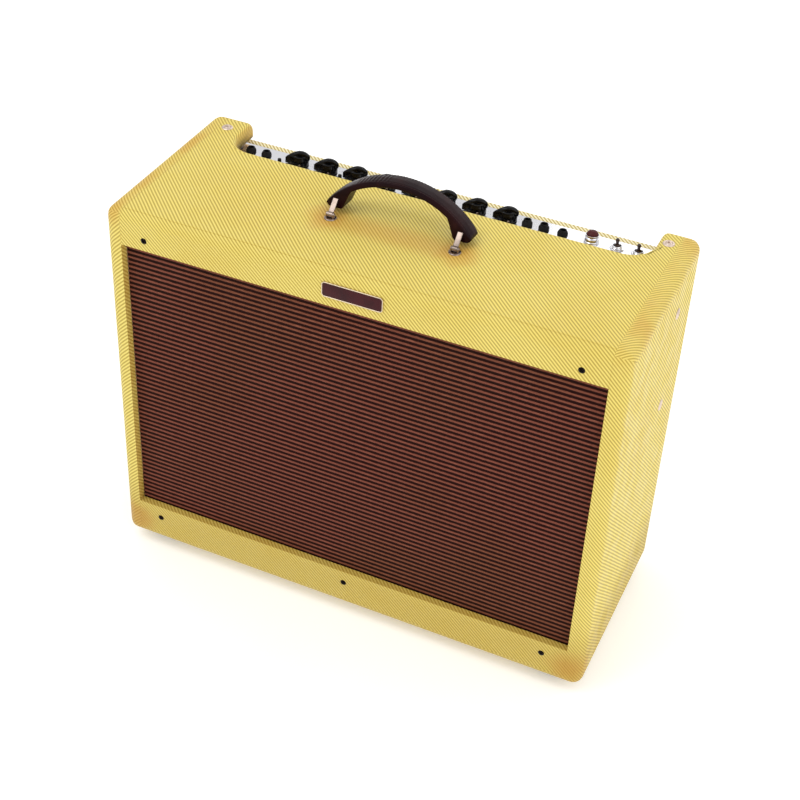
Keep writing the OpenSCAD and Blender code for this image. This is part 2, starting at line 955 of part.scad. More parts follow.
// Front view of the strap between its ends: an arch of even thickness
module arch_outline() {
    centre_z = handle_rise - arch_r;
    difference() {
        intersection() {
            translate([0, centre_z]) circle(arch_r);
            translate([1 - strap_l / 2, strap_end_low + 5]) square([strap_l - 2, handle_rise]);
        }
        translate([0, centre_z]) circle(arch_r - strap_t);
    }
}

// Front view of the strap's deep right end
module end_outline() {
    end_x = strap_l / 2;
    polygon([
        [56, 29], [65, strap_end_low], [end_x - 3, strap_end_low], [end_x, strap_end_low + 3],
        [end_x, strap_end_rise - 1], [end_x - 2, strap_end_rise], [72, strap_end_rise + 8]
    ]);
}

module handle_strap() {
    half = strap_w / 2;
    color(oxblood) difference() {
        strap_frame() {
            along_y(-half, half) arch_outline();
            for (flip = [0, 1]) mirror([flip, 0, 0]) along_y(-half, half) end_outline();
        }
        for (side = [-1, 1]) loop_plate(side, fit_gap);
    }
}

// Flat strip from the pin up into the end of the strap
module loop_plate(side, gap) {
    translate([side * post_span / 2, post_y, top_z + pivot_rise]) rotate([-48, 0, 0])
        block([-3 - gap, -0.9 - gap, 1.8], [3 + gap, 0.9 + gap, 22 + gap]);
}

module handle_loops() {
    color(chrome) for (side = [-1, 1]) difference() {
        union() {
            loop_plate(side, 0);
            translate([side * post_span / 2 - 3.1, post_y, top_z + pivot_rise])
                rotate([0, 90, 0]) cylinder(h = 6.2, r = 2.9);
        }
        translate([side * post_span / 2 - 10, post_y, top_z + pivot_rise])
            rotate([0, 90, 0]) cylinder(h = 20, r = pin_r + fit_gap);
    }
}

// Round foot, two ears and the pin that the loop turns on
module handle_posts() {
    color(chrome) for (side = [-1, 1]) translate([side * post_span / 2, post_y, top_z]) {
        cylinder(h = 1.2, r1 = 7, r2 = 6.4);
        for (x = [-1, 1]) translate([x * 3.9, 0, 0]) {
            block([-0.7, -2.6, 0], [0.7, 2.6, pivot_rise]);
            translate([-0.7, 0, pivot_rise]) rotate([0, 90, 0]) cylinder(h = 1.4, r = 2.6);
        }
        translate([-4.6, 0, pivot_rise]) rotate([0, 90, 0]) cylinder(h = 9.2, r = pin_r);
    }
}

left_side_board();
right_side_board();
top_board();
bottom_board();
upper_rail();
lower_rail();
baffle_board();
grille_cloth();
badge_plate();
rail_screws();
upper_back_panel();
lower_back_panel();
panel_cleats();
back_panel_screws();
rubber_feet();
chassis_pan();
control_panel();
cup_washer_screws();
input_jacks();
loop_jacks();
panel_nuts();
potentiometers();
volume_knob();
drive_knob();
treble_knob();
bass_knob();
middle_knob();
master_knob();
reverb_knob();
presence_knob();
bright_button();
select_button();
button_switches();
toggle_switches();
standby_lever();
power_lever();
jewel_bezel();
jewel_lens();
circuit_board();
filter_capacitors();
power_transformer();
output_transformer();
tube_sockets();
preamp_tubes();
tube_shields();
power_tubes();
mains_inlet();
fuse_holder();
reverb_tank();
speaker_frame();
speaker_surround();
speaker_cone();
dust_cap();
voice_coil();
speaker_spider();
speaker_magnet();
speaker_bolts();
handle_strap();
handle_loops();
handle_posts();
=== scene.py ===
import json
from math import acos, atan2, copysign, cos, hypot, pi, radians, sin, sqrt, tan

import bmesh
import bpy
import numpy as np
from mathutils import Matrix, Vector


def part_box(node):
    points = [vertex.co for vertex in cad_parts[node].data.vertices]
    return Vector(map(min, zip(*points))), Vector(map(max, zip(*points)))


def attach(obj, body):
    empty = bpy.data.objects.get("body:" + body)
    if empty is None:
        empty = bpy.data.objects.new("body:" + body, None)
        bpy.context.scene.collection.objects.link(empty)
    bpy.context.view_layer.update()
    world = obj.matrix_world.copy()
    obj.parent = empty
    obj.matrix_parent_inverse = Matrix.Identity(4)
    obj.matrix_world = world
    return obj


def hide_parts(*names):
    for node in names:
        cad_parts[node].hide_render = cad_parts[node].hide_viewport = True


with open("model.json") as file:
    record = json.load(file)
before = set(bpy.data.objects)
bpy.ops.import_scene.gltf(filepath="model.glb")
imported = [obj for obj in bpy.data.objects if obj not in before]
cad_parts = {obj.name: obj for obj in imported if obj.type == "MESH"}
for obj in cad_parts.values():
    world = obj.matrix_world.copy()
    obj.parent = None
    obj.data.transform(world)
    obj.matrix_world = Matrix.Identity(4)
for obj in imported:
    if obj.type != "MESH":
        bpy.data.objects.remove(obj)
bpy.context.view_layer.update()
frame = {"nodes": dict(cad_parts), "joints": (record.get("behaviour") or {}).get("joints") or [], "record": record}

MM = 0.001
NODES = frame["nodes"]
JOINTS = {joint["name"]: joint for joint in frame["joints"]}
MOUNTS = {mount["name"]: mount for mount in frame["record"]["mounts"]}


def lerp(a, b, t):
    return a + (b - a) * t


def smooth(edge0, edge1, x):
    t = min(max((x - edge0) / (edge1 - edge0), 0.0), 1.0)
    return t * t * (3 - 2 * t)


# --- materials


def srgb(red, green, blue):
    """A colour given from 0 to 255 as linear RGBA."""
    parts = [c / 255 for c in (red, green, blue)]
    linear = [c / 12.92 if c <= 0.04045 else ((c + 0.055) / 1.055) ** 2.4 for c in parts]
    return (*linear, 1.0)


class Paint:
    """One node material. Methods take and return sockets or plain values."""

    def __init__(self, name):
        self.material = bpy.data.materials.new(name)
        self.material.use_nodes = True
        self.tree = self.material.node_tree
        self.shader = self.tree.nodes["Principled BSDF"]
        self.spot = self.node("ShaderNodeTexCoord").outputs["Object"]

    def feed(self, socket, value):
        if isinstance(value, bpy.types.NodeSocket):
            self.tree.links.new(value, socket)
        else:
            socket.default_value = value

    def node(self, kind, inputs=None, **settings):
        made = self.tree.nodes.new(kind)
        for key, value in settings.items():
            setattr(made, key, value)
        for key, value in (inputs or {}).items():
            self.feed(made.inputs[key], value)
        return made

    def math(self, operation, a, b=0.0, c=0.0):
        return self.node("ShaderNodeMath", {0: a, 1: b, 2: c}, operation=operation).outputs[0]

    def times(self, a, b):
        return self.math("MULTIPLY", a, b)

    def plus(self, a, b):
        return self.math("ADD", a, b)

    def minus(self, a, b):
        return self.math("SUBTRACT", a, b)

    def most(self, a, b):
        return self.math("MAXIMUM", a, b)

    def jitter(self, noise, amount):
        """A noise centred on 0."""
        return self.times(self.minus(noise, 0.5), amount)

    def scaled(self, factors):
        inputs = {0: self.spot, 1: factors}
        return self.node("ShaderNodeVectorMath", inputs, operation="MULTIPLY").outputs[0]

    def axes(self, spot=None):
        return self.node("ShaderNodeSeparateXYZ", {0: spot or self.spot}).outputs

    def noise(self, scale, detail=2.0, rough=0.5, spot=None):
        inputs = {"Vector": spot or self.spot, "Scale": scale}
        inputs.update({"Detail": detail, "Roughness": rough})
        return self.node("ShaderNodeTexNoise", inputs).outputs["Fac"]

    def wave(self, value, period):
        """A sine of value, from 0 to 1."""
        turn = self.times(value, 2 * pi / period)
        return self.math("MULTIPLY_ADD", self.math("SINE", turn), 0.5, 0.5)

    def range(self, value, low, high, to_low=0.0, to_high=1.0):
        inputs = {"Value": value, "From Min": low, "From Max": high}
        inputs.update({"To Min": to_low, "To Max": to_high})
        made = self.node("ShaderNodeMapRange", inputs)
        made.interpolation_type = "SMOOTHSTEP"
        return made.outputs["Result"]

    def mix(self, share, a, b):
        made = self.node("ShaderNodeMix", data_type="RGBA")
        self.feed(made.inputs["Factor"], share)
        self.feed(made.inputs[6], a)
        self.feed(made.inputs[7], b)
        return made.outputs[2]

    def attribute(self, name):
        return self.node("ShaderNodeAttribute", attribute_name=name).outputs["Fac"]

    def bump(self, height, distance):
        inputs = {"Height": height, "Distance": distance, "Strength": 1.0}
        return self.node("ShaderNodeBump", inputs).outputs["Normal"]

    def finish(self, colour, rough, metal=0.0, normal=None, **more):
        self.feed(self.shader.inputs["Base Color"], colour)
        self.feed(self.shader.inputs["Roughness"], rough)
        self.feed(self.shader.inputs["Metallic"], metal)
        if normal is not None:
            self.feed(self.shader.inputs["Normal"], normal)
        for key, value in more.items():
            self.feed(self.shader.inputs[key.replace("_", " ")], value)
        return self.material


STRIPE = 4.95 * MM
HANDLE_END = (72.5 * MM, -25 * MM)
LOW_CORNER = (284 * MM, 40 * MM)


def patch_round(p, a, b, spot, near, far):
    """One near a spot of the plane (a, b) and nothing beyond far, with a ragged rim."""
    gaps = [p.math("POWER", p.minus(value, place), 2.0) for value, place in zip((a, b), spot)]
    away = p.math("SQRT", p.plus(*gaps))
    away = p.plus(away, p.jitter(p.noise(40, 3), 0.02))
    return p.range(away, near, far, 1.0, 0.0)


def aged(p):
    """Lacquer gone brown round the handle ends, at low corners and top seams, with painted shadow under the handle
    strap, 0 to 1.
    """
    x, y, z = p.axes()
    aside = p.math("ABSOLUTE", x)
    high = p.range(z, 0.46, 0.47)
    ends = patch_round(p, aside, y, HANDLE_END, 0.008, 0.036)
    # painted shadow of the handle strap on the top, along its line between the ends
    off_line = p.math("ABSOLUTE", p.minus(y, HANDLE_END[1]))
    inside = p.range(aside, HANDLE_END[0], HANDLE_END[0] + 0.02, 1.0, 0.0)
    under = p.times(p.range(off_line, 0.004, 0.03, 0.65, 0.0), inside)
    handle = p.times(p.most(ends, under), high)
    in_front = p.range(y, -0.11, -0.1, 1.0, 0.0)
    corner = p.times(patch_round(p, aside, z, LOW_CORNER, 0.006, 0.034), in_front)
    seam = p.times(p.range(aside, 0.276, 0.284), p.range(z, 0.448, 0.472))
    seam = p.times(seam, p.range(p.noise(14, 3), 0.35, 0.65, 0.1, 0.6))
    both = p.most(p.times(handle, 0.8), p.times(corner, 0.8))
    return p.most(both, seam)


def tweed_material():
    """Lacquered tweed: yellow yarn with darker olive lines across it at 45 degrees.

    UV holds cloth coordinates in metres: U across the lines and V along them.
    """
    p = Paint("tweed")
    u, v, _ = p.axes(p.node("ShaderNodeUVMap", uv_map="cloth").outputs["UV"])
    across = p.plus(u, p.jitter(p.noise(55, 2), 0.9 * MM))
    line = p.wave(across, STRIPE)
    beads = p.wave(p.plus(v, p.times(across, 0.5)), 1.3 * MM)
    dark = p.math("POWER", line, 1.3)
    patches = p.range(p.noise(9, 3), 0.38, 0.66)
    pale = p.mix(patches, srgb(241, 221, 120), srgb(238, 216, 112))
    olive = p.mix(patches, srgb(170, 144, 46), srgb(168, 139, 40))
    # painted shade in the recesses and the paler top face of the back panel, read from a corner attribute
    recess = p.attribute("recess_shade_and_pale_edge")
    pale = p.mix(p.range(recess, -1.0, 0.0, 0.75, 0.0), pale, srgb(252, 246, 218))
    recess_shade_and_pale_edge = p.times(recess, p.range(p.noise(30, 3), 0.25, 0.75, 0.45, 1.0))
    freckle = p.range(p.noise(16, 4, 0.6), 0.6, 0.8, 0.0, 0.12)
    # orange-brown for stains and freckles, and as painted shade in the recesses and under the handle strap
    tint = p.most(p.most(recess_shade_and_pale_edge, freckle), aged(p))
    yarn = p.mix(p.times(dark, 0.95), pale, olive)
    yarn = p.mix(p.times(beads, 0.1), yarn, srgb(246, 226, 140))
    yarn = p.mix(p.times(tint, 0.62), yarn, srgb(196, 122, 30))
    # painted shade: the tweed drawn darker towards the bottom, standing in for less light low on the cabinet
    yarn = p.mix(p.range(p.axes()[2], 0.05, 0.12, 0.32, 0.0), yarn, srgb(150, 112, 34))
    height = p.plus(p.times(line, -1.0), p.times(beads, 0.35))
    height = p.plus(height, p.times(p.noise(900, 2), 0.3))
    rough = p.range(p.noise(40, 3), 0.3, 0.7, 0.42, 0.6)
    return p.finish(yarn, rough, normal=p.bump(height, 0.16 * MM), Specular_IOR_Level=0.3)


def wood(name, light, dark, along, rings=150):
    """Bare board with grain running along one axis."""
    p = Paint(name)
    squeeze = [1.0, 1.0, 1.0]
    squeeze[along] = 0.06
    grain_spot = p.scaled(squeeze)
    warp = p.noise(14, 3, 0.6, grain_spot)
    x, y, z = p.axes(grain_spot)
    depth = p.plus(x, p.times(y, 0.6))
    depth = p.plus(depth, p.times(z, 0.8))
    ring = p.wave(p.plus(depth, p.times(warp, 0.05)), 1.0 / rings)
    pores = p.noise(700, 2, 0.5, grain_spot)
    shade = p.plus(p.times(ring, 0.45), p.times(pores, 0.5))
    colour = p.mix(p.range(shade, 0.25, 0.85), light, dark)
    colour = p.mix(p.range(p.noise(5, 2), 0.45, 0.7, 0.0, 0.3), colour, dark)
    height = p.plus(p.times(pores, 0.6), p.times(ring, 0.2))
    return p.finish(colour, p.range(pores, 0.3, 0.7, 0.55, 0.72), normal=p.bump(height, 0.08 * MM))


RIB = 6.13 * MM


def grille_material():
    """Coarse dark red-brown cloth whose ribs carry a paler twisted yarn."""
    p = Paint("grille_cloth")
    rib = p.attribute("rib")
    x, _, z = p.axes()
    twist = p.wave(p.plus(x, p.times(z, -1.6)), 3.0 * MM)
    fibre = p.noise(1.0, 3, 0.6, p.scaled((260, 260, 900)))
    fleck = p.noise(1.0, 3, 0.6, p.scaled((70, 70, 700)))
    crown = p.range(p.plus(rib, p.jitter(fibre, 0.5)), 0.42, 0.95)
    crown = p.times(crown, p.range(twist, 0.0, 1.0, 0.72, 1.0))
    ground = p.mix(p.range(p.noise(6, 3), 0.35, 0.65), srgb(34, 3, 1), srgb(32, 7, 2))
    yarn = p.mix(p.range(p.noise(5, 2), 0.4, 0.62), srgb(134, 76, 60), srgb(128, 76, 54))
    yarn = p.mix(p.range(fleck, 0.55, 0.8), yarn, srgb(164, 104, 82))
    colour = p.mix(crown, ground, yarn)
    height = p.plus(p.times(fibre, 0.5), p.times(twist, 0.5))
    return p.finish(colour, 0.85, normal=p.bump(height, 0.22 * MM), Specular_IOR_Level=0.12)


def metal(name, colour, rough, grain=(1, 1, 1), wear=0.25, tone=0.8):
    """Metal with fine grain, smudges and slightly dulled patches."""
    p = Paint(name)
    lines = p.noise(1.0, 3, 0.6, p.scaled([g * 600 for g in grain]))
    smudge = p.noise(38, 4, 0.6)
    dull = [c * tone for c in colour[:3]] + [1.0]
    shade = p.mix(p.range(smudge, 0.42, 0.72, 0.0, wear), colour, dull)
    base = p.range(smudge, 0.4, 0.75, rough * 0.8, rough * 1.35)
    spread = p.plus(p.jitter(lines, rough * 0.7), base)
    return p.finish(shade, spread, 1.0, p.bump(lines, 0.012 * MM))


def plastic(name, colour, rough, grain=900, depth=0.02, coat=0.0, shine=0.35):
    """Moulded or painted surface with fine texture and handling marks."""
    p = Paint(name)
    fine = p.noise(grain, 3, 0.6)
    smudge = p.noise(45, 4, 0.6)
    lighter = [min(c * 1.5 + 0.006, 1.0) for c in colour[:3]] + [1.0]
    shade = p.mix(p.range(smudge, 0.4, 0.75, 0.0, 0.5), colour, lighter)
    spread = p.range(smudge, 0.35, 0.7, rough * 0.85, rough * 1.25)
    more = {"Coat_Weight": coat, "Specular_IOR_Level": shine}
    return p.finish(shade, spread, 0.0, p.bump(fine, depth * MM), **more)


def leather_material():
    """Dark red-brown leather with pores, creases and rubbed patches."""
    p = Paint("strap_leather")
    pore = p.node("ShaderNodeTexVoronoi", {"Vector": p.spot, "Scale": 900.0}).outputs["Distance"]
    crease = p.noise(120, 4, 0.6)
    rub = p.range(p.noise(70, 4, 0.6), 0.5, 0.8, 0.0, 0.5)
    colour = p.mix(p.range(p.noise(25, 3), 0.35, 0.65), srgb(25, 7, 12), srgb(34, 11, 14))
    colour = p.mix(rub, colour, srgb(58, 27, 26))
    height = p.plus(p.times(pore, 0.6), crease)
    rough = p.range(crease, 0.3, 0.7, 0.26, 0.4)
    return p.finish(colour, rough, normal=p.bump(height, 0.1 * MM), Specular_IOR_Level=0.08)


def paper_material():
    """Pressed paper pulp with fibres and darker clumps."""
    p = Paint("cone_pulp")
    fibre = p.noise(420, 5, 0.7)
    clump = p.noise(90, 3, 0.6)
    colour = p.mix(p.range(fibre, 0.4, 0.75), srgb(44, 42, 40), srgb(78, 72, 66))
    colour = p.mix(p.range(clump, 0.5, 0.8, 0.0, 0.4), colour, srgb(34, 33, 32))
    return p.finish(colour, 0.9, normal=p.bump(fibre, 0.1 * MM))


def board_material():
    """Green circuit board with copper tracks under its mask."""
    p = Paint("circuit_board")
    track = p.node("ShaderNodeTexBrick", {"Vector": p.spot, "Scale": 90.0, "Mortar Size": 0.03})
    seen = p.range(track.outputs["Fac"], 0.3, 0.7)
    colour = p.mix(seen, srgb(26, 74, 48), srgb(60, 118, 74))
    return p.finish(colour, 0.35, normal=p.bump(seen, 0.04 * MM))


def layered_material():
    """Stack of thin iron plates seen on edge."""
    p = Paint("laminations")
    _, _, z = p.axes()
    sheet = p.wave(z, 1.0 * MM)
    rust = p.range(p.noise(60, 4, 0.6), 0.5, 0.75, 0.0, 0.5)
    colour = p.mix(sheet, srgb(52, 50, 50), srgb(96, 94, 92))
    colour = p.mix(rust, colour, srgb(84, 58, 40))
    return p.finish(colour, 0.5, 0.7, p.bump(sheet, 0.15 * MM))


def clear_glass(name, colour, rough=0.03, through=1.0, shine=0.5):
    """Clear or tinted glass with a little dust."""
    p = Paint(name)
    dust = p.range(p.noise(60, 4, 0.6), 0.45, 0.8, rough, rough + 0.1)
    shade = p.mix(p.range(p.noise(25, 2), 0.3, 0.7, 0.0, 0.03), colour, srgb(255, 250, 240))
    more = {"Transmission_Weight": through, "IOR": 1.45, "Specular_IOR_Level": shine}
    return p.finish(shade, dust, **more)


def enamel_material():
    """Dark red enamel plate; the raised rim is pale metal."""
    p = Paint("badge_enamel")
    cloudy = p.range(p.noise(60, 3), 0.35, 0.7)
    colour = p.mix(cloudy, srgb(64, 8, 17), srgb(50, 6, 13))
    rough = p.range(p.noise(200, 2), 0.3, 0.7, 0.2, 0.34)
    return p.finish(colour, rough, normal=p.bump(p.noise(500, 2), 0.01 * MM), Specular_IOR_Level=0.2)


TWEED = tweed_material()
PINE_X = wood("pine_boards", srgb(222, 190, 142), srgb(188, 146, 92), 0)
PINE_Z = wood("pine_upright", srgb(220, 188, 140), srgb(184, 142, 88), 2)
PLY = wood("loudspeaker_board_ply", srgb(206, 174, 128), srgb(166, 126, 80), 0, 70)
GRILLE = grille_material()
ENAMEL = enamel_material()
PALE_RIM = metal("badge_rim", srgb(214, 196, 170), 0.3, wear=0.5)
BLACK_STEEL = metal("blackened_steel", srgb(30, 25, 24), 0.3, wear=0.5, tone=0.5)
NICKEL = metal("nickel", srgb(158, 142, 132), 0.26, wear=0.6, tone=0.55)
CUP_NICKEL = metal("cup_nickel", srgb(226, 206, 190), 0.42, wear=0.4, tone=0.4)
STEEL = metal("zinc_steel", srgb(176, 178, 180), 0.34, (1, 8, 8))
SHIELD = metal("brushed_shield", srgb(196, 196, 198), 0.28, (1, 1, 12))
CHROME = metal("chrome", srgb(232, 232, 236), 0.08, (0.2, 6, 6), 0.2, 0.85)
COPPER = metal("coil_copper", srgb(196, 122, 72), 0.3, (4, 4, 40))
RUBBER = plastic("rubber", srgb(22, 21, 21), 0.75, 1400, 0.05, 0.0, 0.2)
SATIN = plastic("black_phenolic", srgb(12, 12, 13), 0.38, 1100, 0.02, 0.0, 0.2)
GLOSS = plastic("glossy_knob_plastic", srgb(4, 4, 5), 0.16, 500, 0.004, 0.0, 0.22)
ENAMEL_BLACK = plastic("black_enamel", srgb(24, 24, 26), 0.3, 300, 0.05, 0.3)
FRAME_PAINT = plastic("basket_paint", srgb(62, 64, 66), 0.42, 420, 0.05, 0.1)
FERRITE = plastic("ferrite", srgb(46, 45, 45), 0.6, 260, 0.09)
SLEEVE = plastic("capacitor_sleeve", srgb(30, 42, 104), 0.25, 200, 0.02, 0.3)
SPIDER = plastic("spider_cloth", srgb(176, 140, 82), 0.8, 1500, 0.1)
DOPED = plastic("surround_cloth", srgb(36, 34, 33), 0.55, 900, 0.1)
CERAMIC = plastic("socket_ceramic", srgb(206, 200, 186), 0.45, 600, 0.03)
INK = plastic("printed_ink", srgb(26, 26, 30), 0.5, 1200, 0.005)
THREAD = plastic("strap_thread", srgb(44, 18, 18), 0.7, 2000, 0.05)
PLATE_GREY = metal("tube_plates", srgb(120, 120, 122), 0.5, (1, 1, 4), tone=0.6)
GETTER = metal("getter_mirror", srgb(200, 204, 210), 0.1)
# painted reflection: the chrome lever's colour is darkened to stand in for the dark surroundings it reflects
LEVER_CHROME_SHADED = metal("lever_chrome_painted_dark", srgb(74, 64, 60), 0.16, wear=0.5, tone=0.5)
JEWEL = clear_glass("jewel_glass", srgb(70, 0, 6), 0.06, 0.0, 0.08)
GLASS = clear_glass("tube_glass", srgb(250, 252, 255))
PULP = paper_material()
BOARD = board_material()
LAYERS = layered_material()
LEATHER = leather_material()

# --- mesh tools


def fillet(points, steps=4):
    """Rounds the corners of a closed outline of (x, y, radius) points."""
    out = []
    count = len(points)
    for i, point in enumerate(points):
        radius = point[2]
        if radius <= 0:
            out.append(point[:2])
            continue
        here = np.array(point[:2], float)
        back = np.array(points[i - 1][:2], float) - here
        ahead = np.array(points[(i + 1) % count][:2], float) - here
        back_length, ahead_length = np.linalg.norm(back), np.linalg.norm(ahead)
        back, ahead = back / back_length, ahead / ahead_length
        half = acos(np.clip(back @ ahead, -1, 1)) / 2
        run = min(radius / tan(half), 0.49 * back_length, 0.49 * ahead_length)
        reach = run / cos(half)
        middle = (back + ahead) / np.linalg.norm(back + ahead)
        centre = here + middle * reach
        first, last = here + back * run - centre, here + ahead * run - centre
        start = atan2(first[1], first[0])
        turn = atan2(last[1], last[0]) - start
        turn = (turn + pi) % (2 * pi) - pi
        size = np.linalg.norm(first)
        for k in range(steps + 1):
            angle = start + turn * k / steps
            out.append((centre[0] + size * cos(angle), centre[1] + size * sin(angle)))
    return out


def inset(outline, distance):
    """Moves a closed anticlockwise outline inwards."""
    pts = np.array(outline, float)
    ahead = np.roll(pts, -1, 0) - pts
    ahead /= np.linalg.norm(ahead, axis=1)[:, None] + 1e-12
    normal = np.stack([-ahead[:, 1], ahead[:, 0]], 1)
    both = normal + np.roll(normal, 1, 0)
    both /= (both * both).sum(1)[:, None] / 2 + 1e-12
    return [tuple(p) for p in pts + both * distance]


def box_outline(width, depth, radius):
    w, d = width / 2, depth / 2
    corners = [(-w, -d), (w, -d), (w, d), (-w, d)]
    return fillet([(x, y, radius) for x, y in corners])


def thread(radius, low, high, pitch=0.8, depth=0.3):
    """Profile of a threaded stretch, as (radius, height) points in millimetres."""
    turns = max(int((high - low) / pitch), 1)
    points = []
    for i in range(turns):
        base = low + i * pitch
        points += [(radius - depth, base), (radius, base + pitch * 0.5)]
    return points + [(radius - depth, high)]


class Shape:
    """Vertices and faces gathered from several forms. Sizes are in millimetres."""

    def __init__(self, place=None):
        self.verts, self.faces, self.slots = [], [], []
        self.place = place or Matrix.Identity(4)

    def add(self, verts, faces, place=None, slot=0):
        place = self.place @ (place or Matrix.Identity(4))
        start = len(self.verts)
        self.verts += [place @ (Vector(v) * MM) for v in verts]
        flipped = place.determinant() < 0
        for face in faces:
            moved = [start + i for i in face]
            self.faces.append(moved[::-1] if flipped else moved)
            self.slots.append(slot)

    def loft(self, rings, place=None, slot=0, caps=True):
        """A skin over rings of points; a ring of one point closes an end."""
        sides = max(len(ring) for ring in rings)
        verts, faces, starts = [], [], []
        for ring in rings:
            starts.append(len(verts))
            verts += list(ring)
        for lower in range(len(rings) - 1):
            low_wide, high_wide = len(rings[lower]) > 1, len(rings[lower + 1]) > 1
            a, b = starts[lower], starts[lower + 1]
            for i in range(sides):
                j = (i + 1) % sides
                face = [a + i, a + j] if low_wide else [a]
                face += [b + j, b + i] if high_wide else [b]
                faces.append(face)
        if caps and len(rings[0]) > 1:
            faces.append(list(range(sides))[::-1])
        if caps and len(rings[-1]) > 1:
            faces.append([starts[-1] + i for i in range(sides)])
        self.add(verts, faces, place, slot)

    def revolve(self, profile, place=None, slot=0, steps=48):
        """Turns (radius, height) points about Z; a profile off the axis is closed on itself."""
        rings = []
        for radius, height in profile:
            if radius < 1e-6:
                rings.append([(0, 0, height)])
                continue
            rings.append(ring(radius, height, steps))
        if profile[0][0] > 0:
            rings.append(rings[0])
        self.loft(rings, place, slot, caps=False)

    def slab(self, outline, low, high, edge=0.3, place=None, slot=0):
        """A plate of that outline, with rounded rims."""
        bottom, top = [], []
        for k in range(4):
            angle = pi / 6 * k
            sunk, raised = edge * (1 - sin(angle)), edge * (1 - cos(angle))
            bottom.append([(x, y, low + raised) for x, y in inset(outline, sunk)])
            top.append([(x, y, high - sunk) for x, y in inset(outline, raised)])
        self.loft(bottom + top, place, slot)

    def box(self, low, high, radius=1.0, edge=0.5, place=None, slot=0):
        """A box with rounded upright edges and rounded rims."""
        width, depth = high[0] - low[0], high[1] - low[1]
        shift = at((low[0] + high[0]) / 2, (low[1] + high[1]) / 2)
        place = (place or Matrix.Identity(4)) @ shift
        radius = min(radius, width * 0.45, depth * 0.45)
        edge = min(edge, radius * 0.95, (high[2] - low[2]) * 0.45)
        self.slab(box_outline(width, depth, radius), low[2], high[2], edge, place, slot)

    def tube(self, path, radius, slot, sides):
        """A round wire along a path of points."""
        pts = [Vector(p) for p in path]
        rings = []
        side = None
        for i, p in enumerate(pts):
            ahead = (pts[min(i + 1, len(pts) - 1)] - pts[max(i - 1, 0)]).normalized()
            if side is None:
                side = ahead.orthogonal().normalized()
            side = (side - ahead * side.dot(ahead)).normalized()
            up = ahead.cross(side)
            turn = [2 * pi * k / sides for k in range(sides)]
            rings.append([tuple(p + (side * cos(t) + up * sin(t)) * radius) for t in turn])
        self.loft(rings, None, slot)

    def build(self, name, node, slot, *materials, body="cabinet", flat=False, angle=40):
        """One Blender piece, riding on a body in place of a CAD node, if one is given."""
        mesh = bpy.data.meshes.new(name)
        mesh.from_pydata([tuple(v) for v in self.verts], [], self.faces)
        for material in materials:
            mesh.materials.append(material)
        mesh.polygons.foreach_set("material_index", self.slots)
        tidy(mesh)
        if not flat:
            mesh.shade_smooth()
            mesh.set_sharp_from_angle(angle=radians(angle))
        place_piece(mesh, name, body, node)


def tidy(mesh):
    """Joins doubled points and makes every face look outwards."""
    bm = bmesh.new()
    bm.from_mesh(mesh)
    bmesh.ops.remove_doubles(bm, verts=bm.verts, dist=1e-7)
    bmesh.ops.recalc_face_normals(bm, faces=bm.faces)
    bm.to_mesh(mesh)
    bm.free()
    mesh.update()


def add_object(name, data):
    made = bpy.data.objects.new(name, data)
    bpy.context.scene.collection.objects.link(made)
    return made


def place_piece(mesh, name, body, node):
    piece = add_object(name, mesh)
    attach(piece, body)
    if node:
        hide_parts(node)
    return piece


def smooth_seams(piece):
    shade = piece.modifiers.new("shade", "WEIGHTED_NORMAL")
    shade.keep_sharp = True


def finish_cad(node, material, width=0.4, segments=2):
    """Keeps a CAD node, with softened edges and a node material."""
    piece = NODES[node]
    piece.data.materials.clear()
    piece.data.materials.append(material)
    weld = piece.modifiers.new("weld", "WELD")
    weld.merge_threshold = 0.01 * MM
    flatten = piece.modifiers.new("flatten", "DECIMATE")
    flatten.decimate_type = "DISSOLVE"
    flatten.angle_limit = radians(0.5)
    round_off = piece.modifiers.new("round_off", "BEVEL")
    round_off.width = width * MM
    round_off.segments = segments
    round_off.limit_method = "ANGLE"
    round_off.angle_limit = radians(35)
    round_off.use_clamp_overlap = True
    smooth_seams(piece)
    for polygon in piece.data.polygons:
        polygon.use_smooth = True


def facing(origin, axis, right=(1, 0, 0)):
    """Matrix that puts local Z along axis and local X near right."""
    z = Vector(axis).normalized()
    x = (Vector(right) - z * Vector(right).dot(z)).normalized()
    y = z.cross(x)
    spin = Matrix((x, y, z)).transposed().to_4x4()
    return Matrix.Translation(Vector(origin)) @ spin


def at(x, y, z=0.0):
    return Matrix.Translation(Vector((x, y, z)) * MM)


def spun(degrees, axis="Z"):
    return Matrix.Rotation(radians(degrees), 4, axis)


# --- places

side_low, side_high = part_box("right_side_board")
top_low, top_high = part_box("top_board")
TOP = top_high.z
WIDE = side_high.x
INNER = side_low.x
panel_joint = JOINTS["volume_turn"]
PANEL_UP = Vector(panel_joint["axis"])
PANEL_SPOT = Vector(panel_joint["pos_m"])
FRONT_OUT = Vector(JOINTS["cone_travel"]["axis"])


def panel(x, v=0.0):
    """On the control panel: x in metres, v in millimetres down its slope."""
    return facing((x, PANEL_SPOT.y, PANEL_SPOT.z), PANEL_UP) @ at(0, v)


# --- cloth-covered boards

EDGE_R = 12.7 * MM
HAIR = 0.5 * MM
CUT_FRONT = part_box("control_panel")[1].y - 56.5 * MM
CUT_MARGIN = 4 * MM
CUT_ROLL = 6.5
WIDEST_EDGE = 7.0
FRONT_FOOT = Vector((0, side_low.y, side_low.z + EDGE_R))
cloth_low, cloth_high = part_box("grille_cloth")


def front_depth(p):
    """How far a point lies behind the leaning front face."""
    return (FRONT_FOOT - p).dot(FRONT_OUT)


CLOTH_DEPTH = front_depth(Vector((0, cloth_low.y, cloth_low.z)))


def at_cut(p):
    return p.y > CUT_FRONT - CUT_MARGIN


def cut_through(bm, spot, normal):
    parts = bm.verts[:] + bm.edges[:] + bm.faces[:]
    bmesh.ops.bisect_plane(bm, geom=parts, dist=1e-6, plane_co=spot, plane_no=normal)


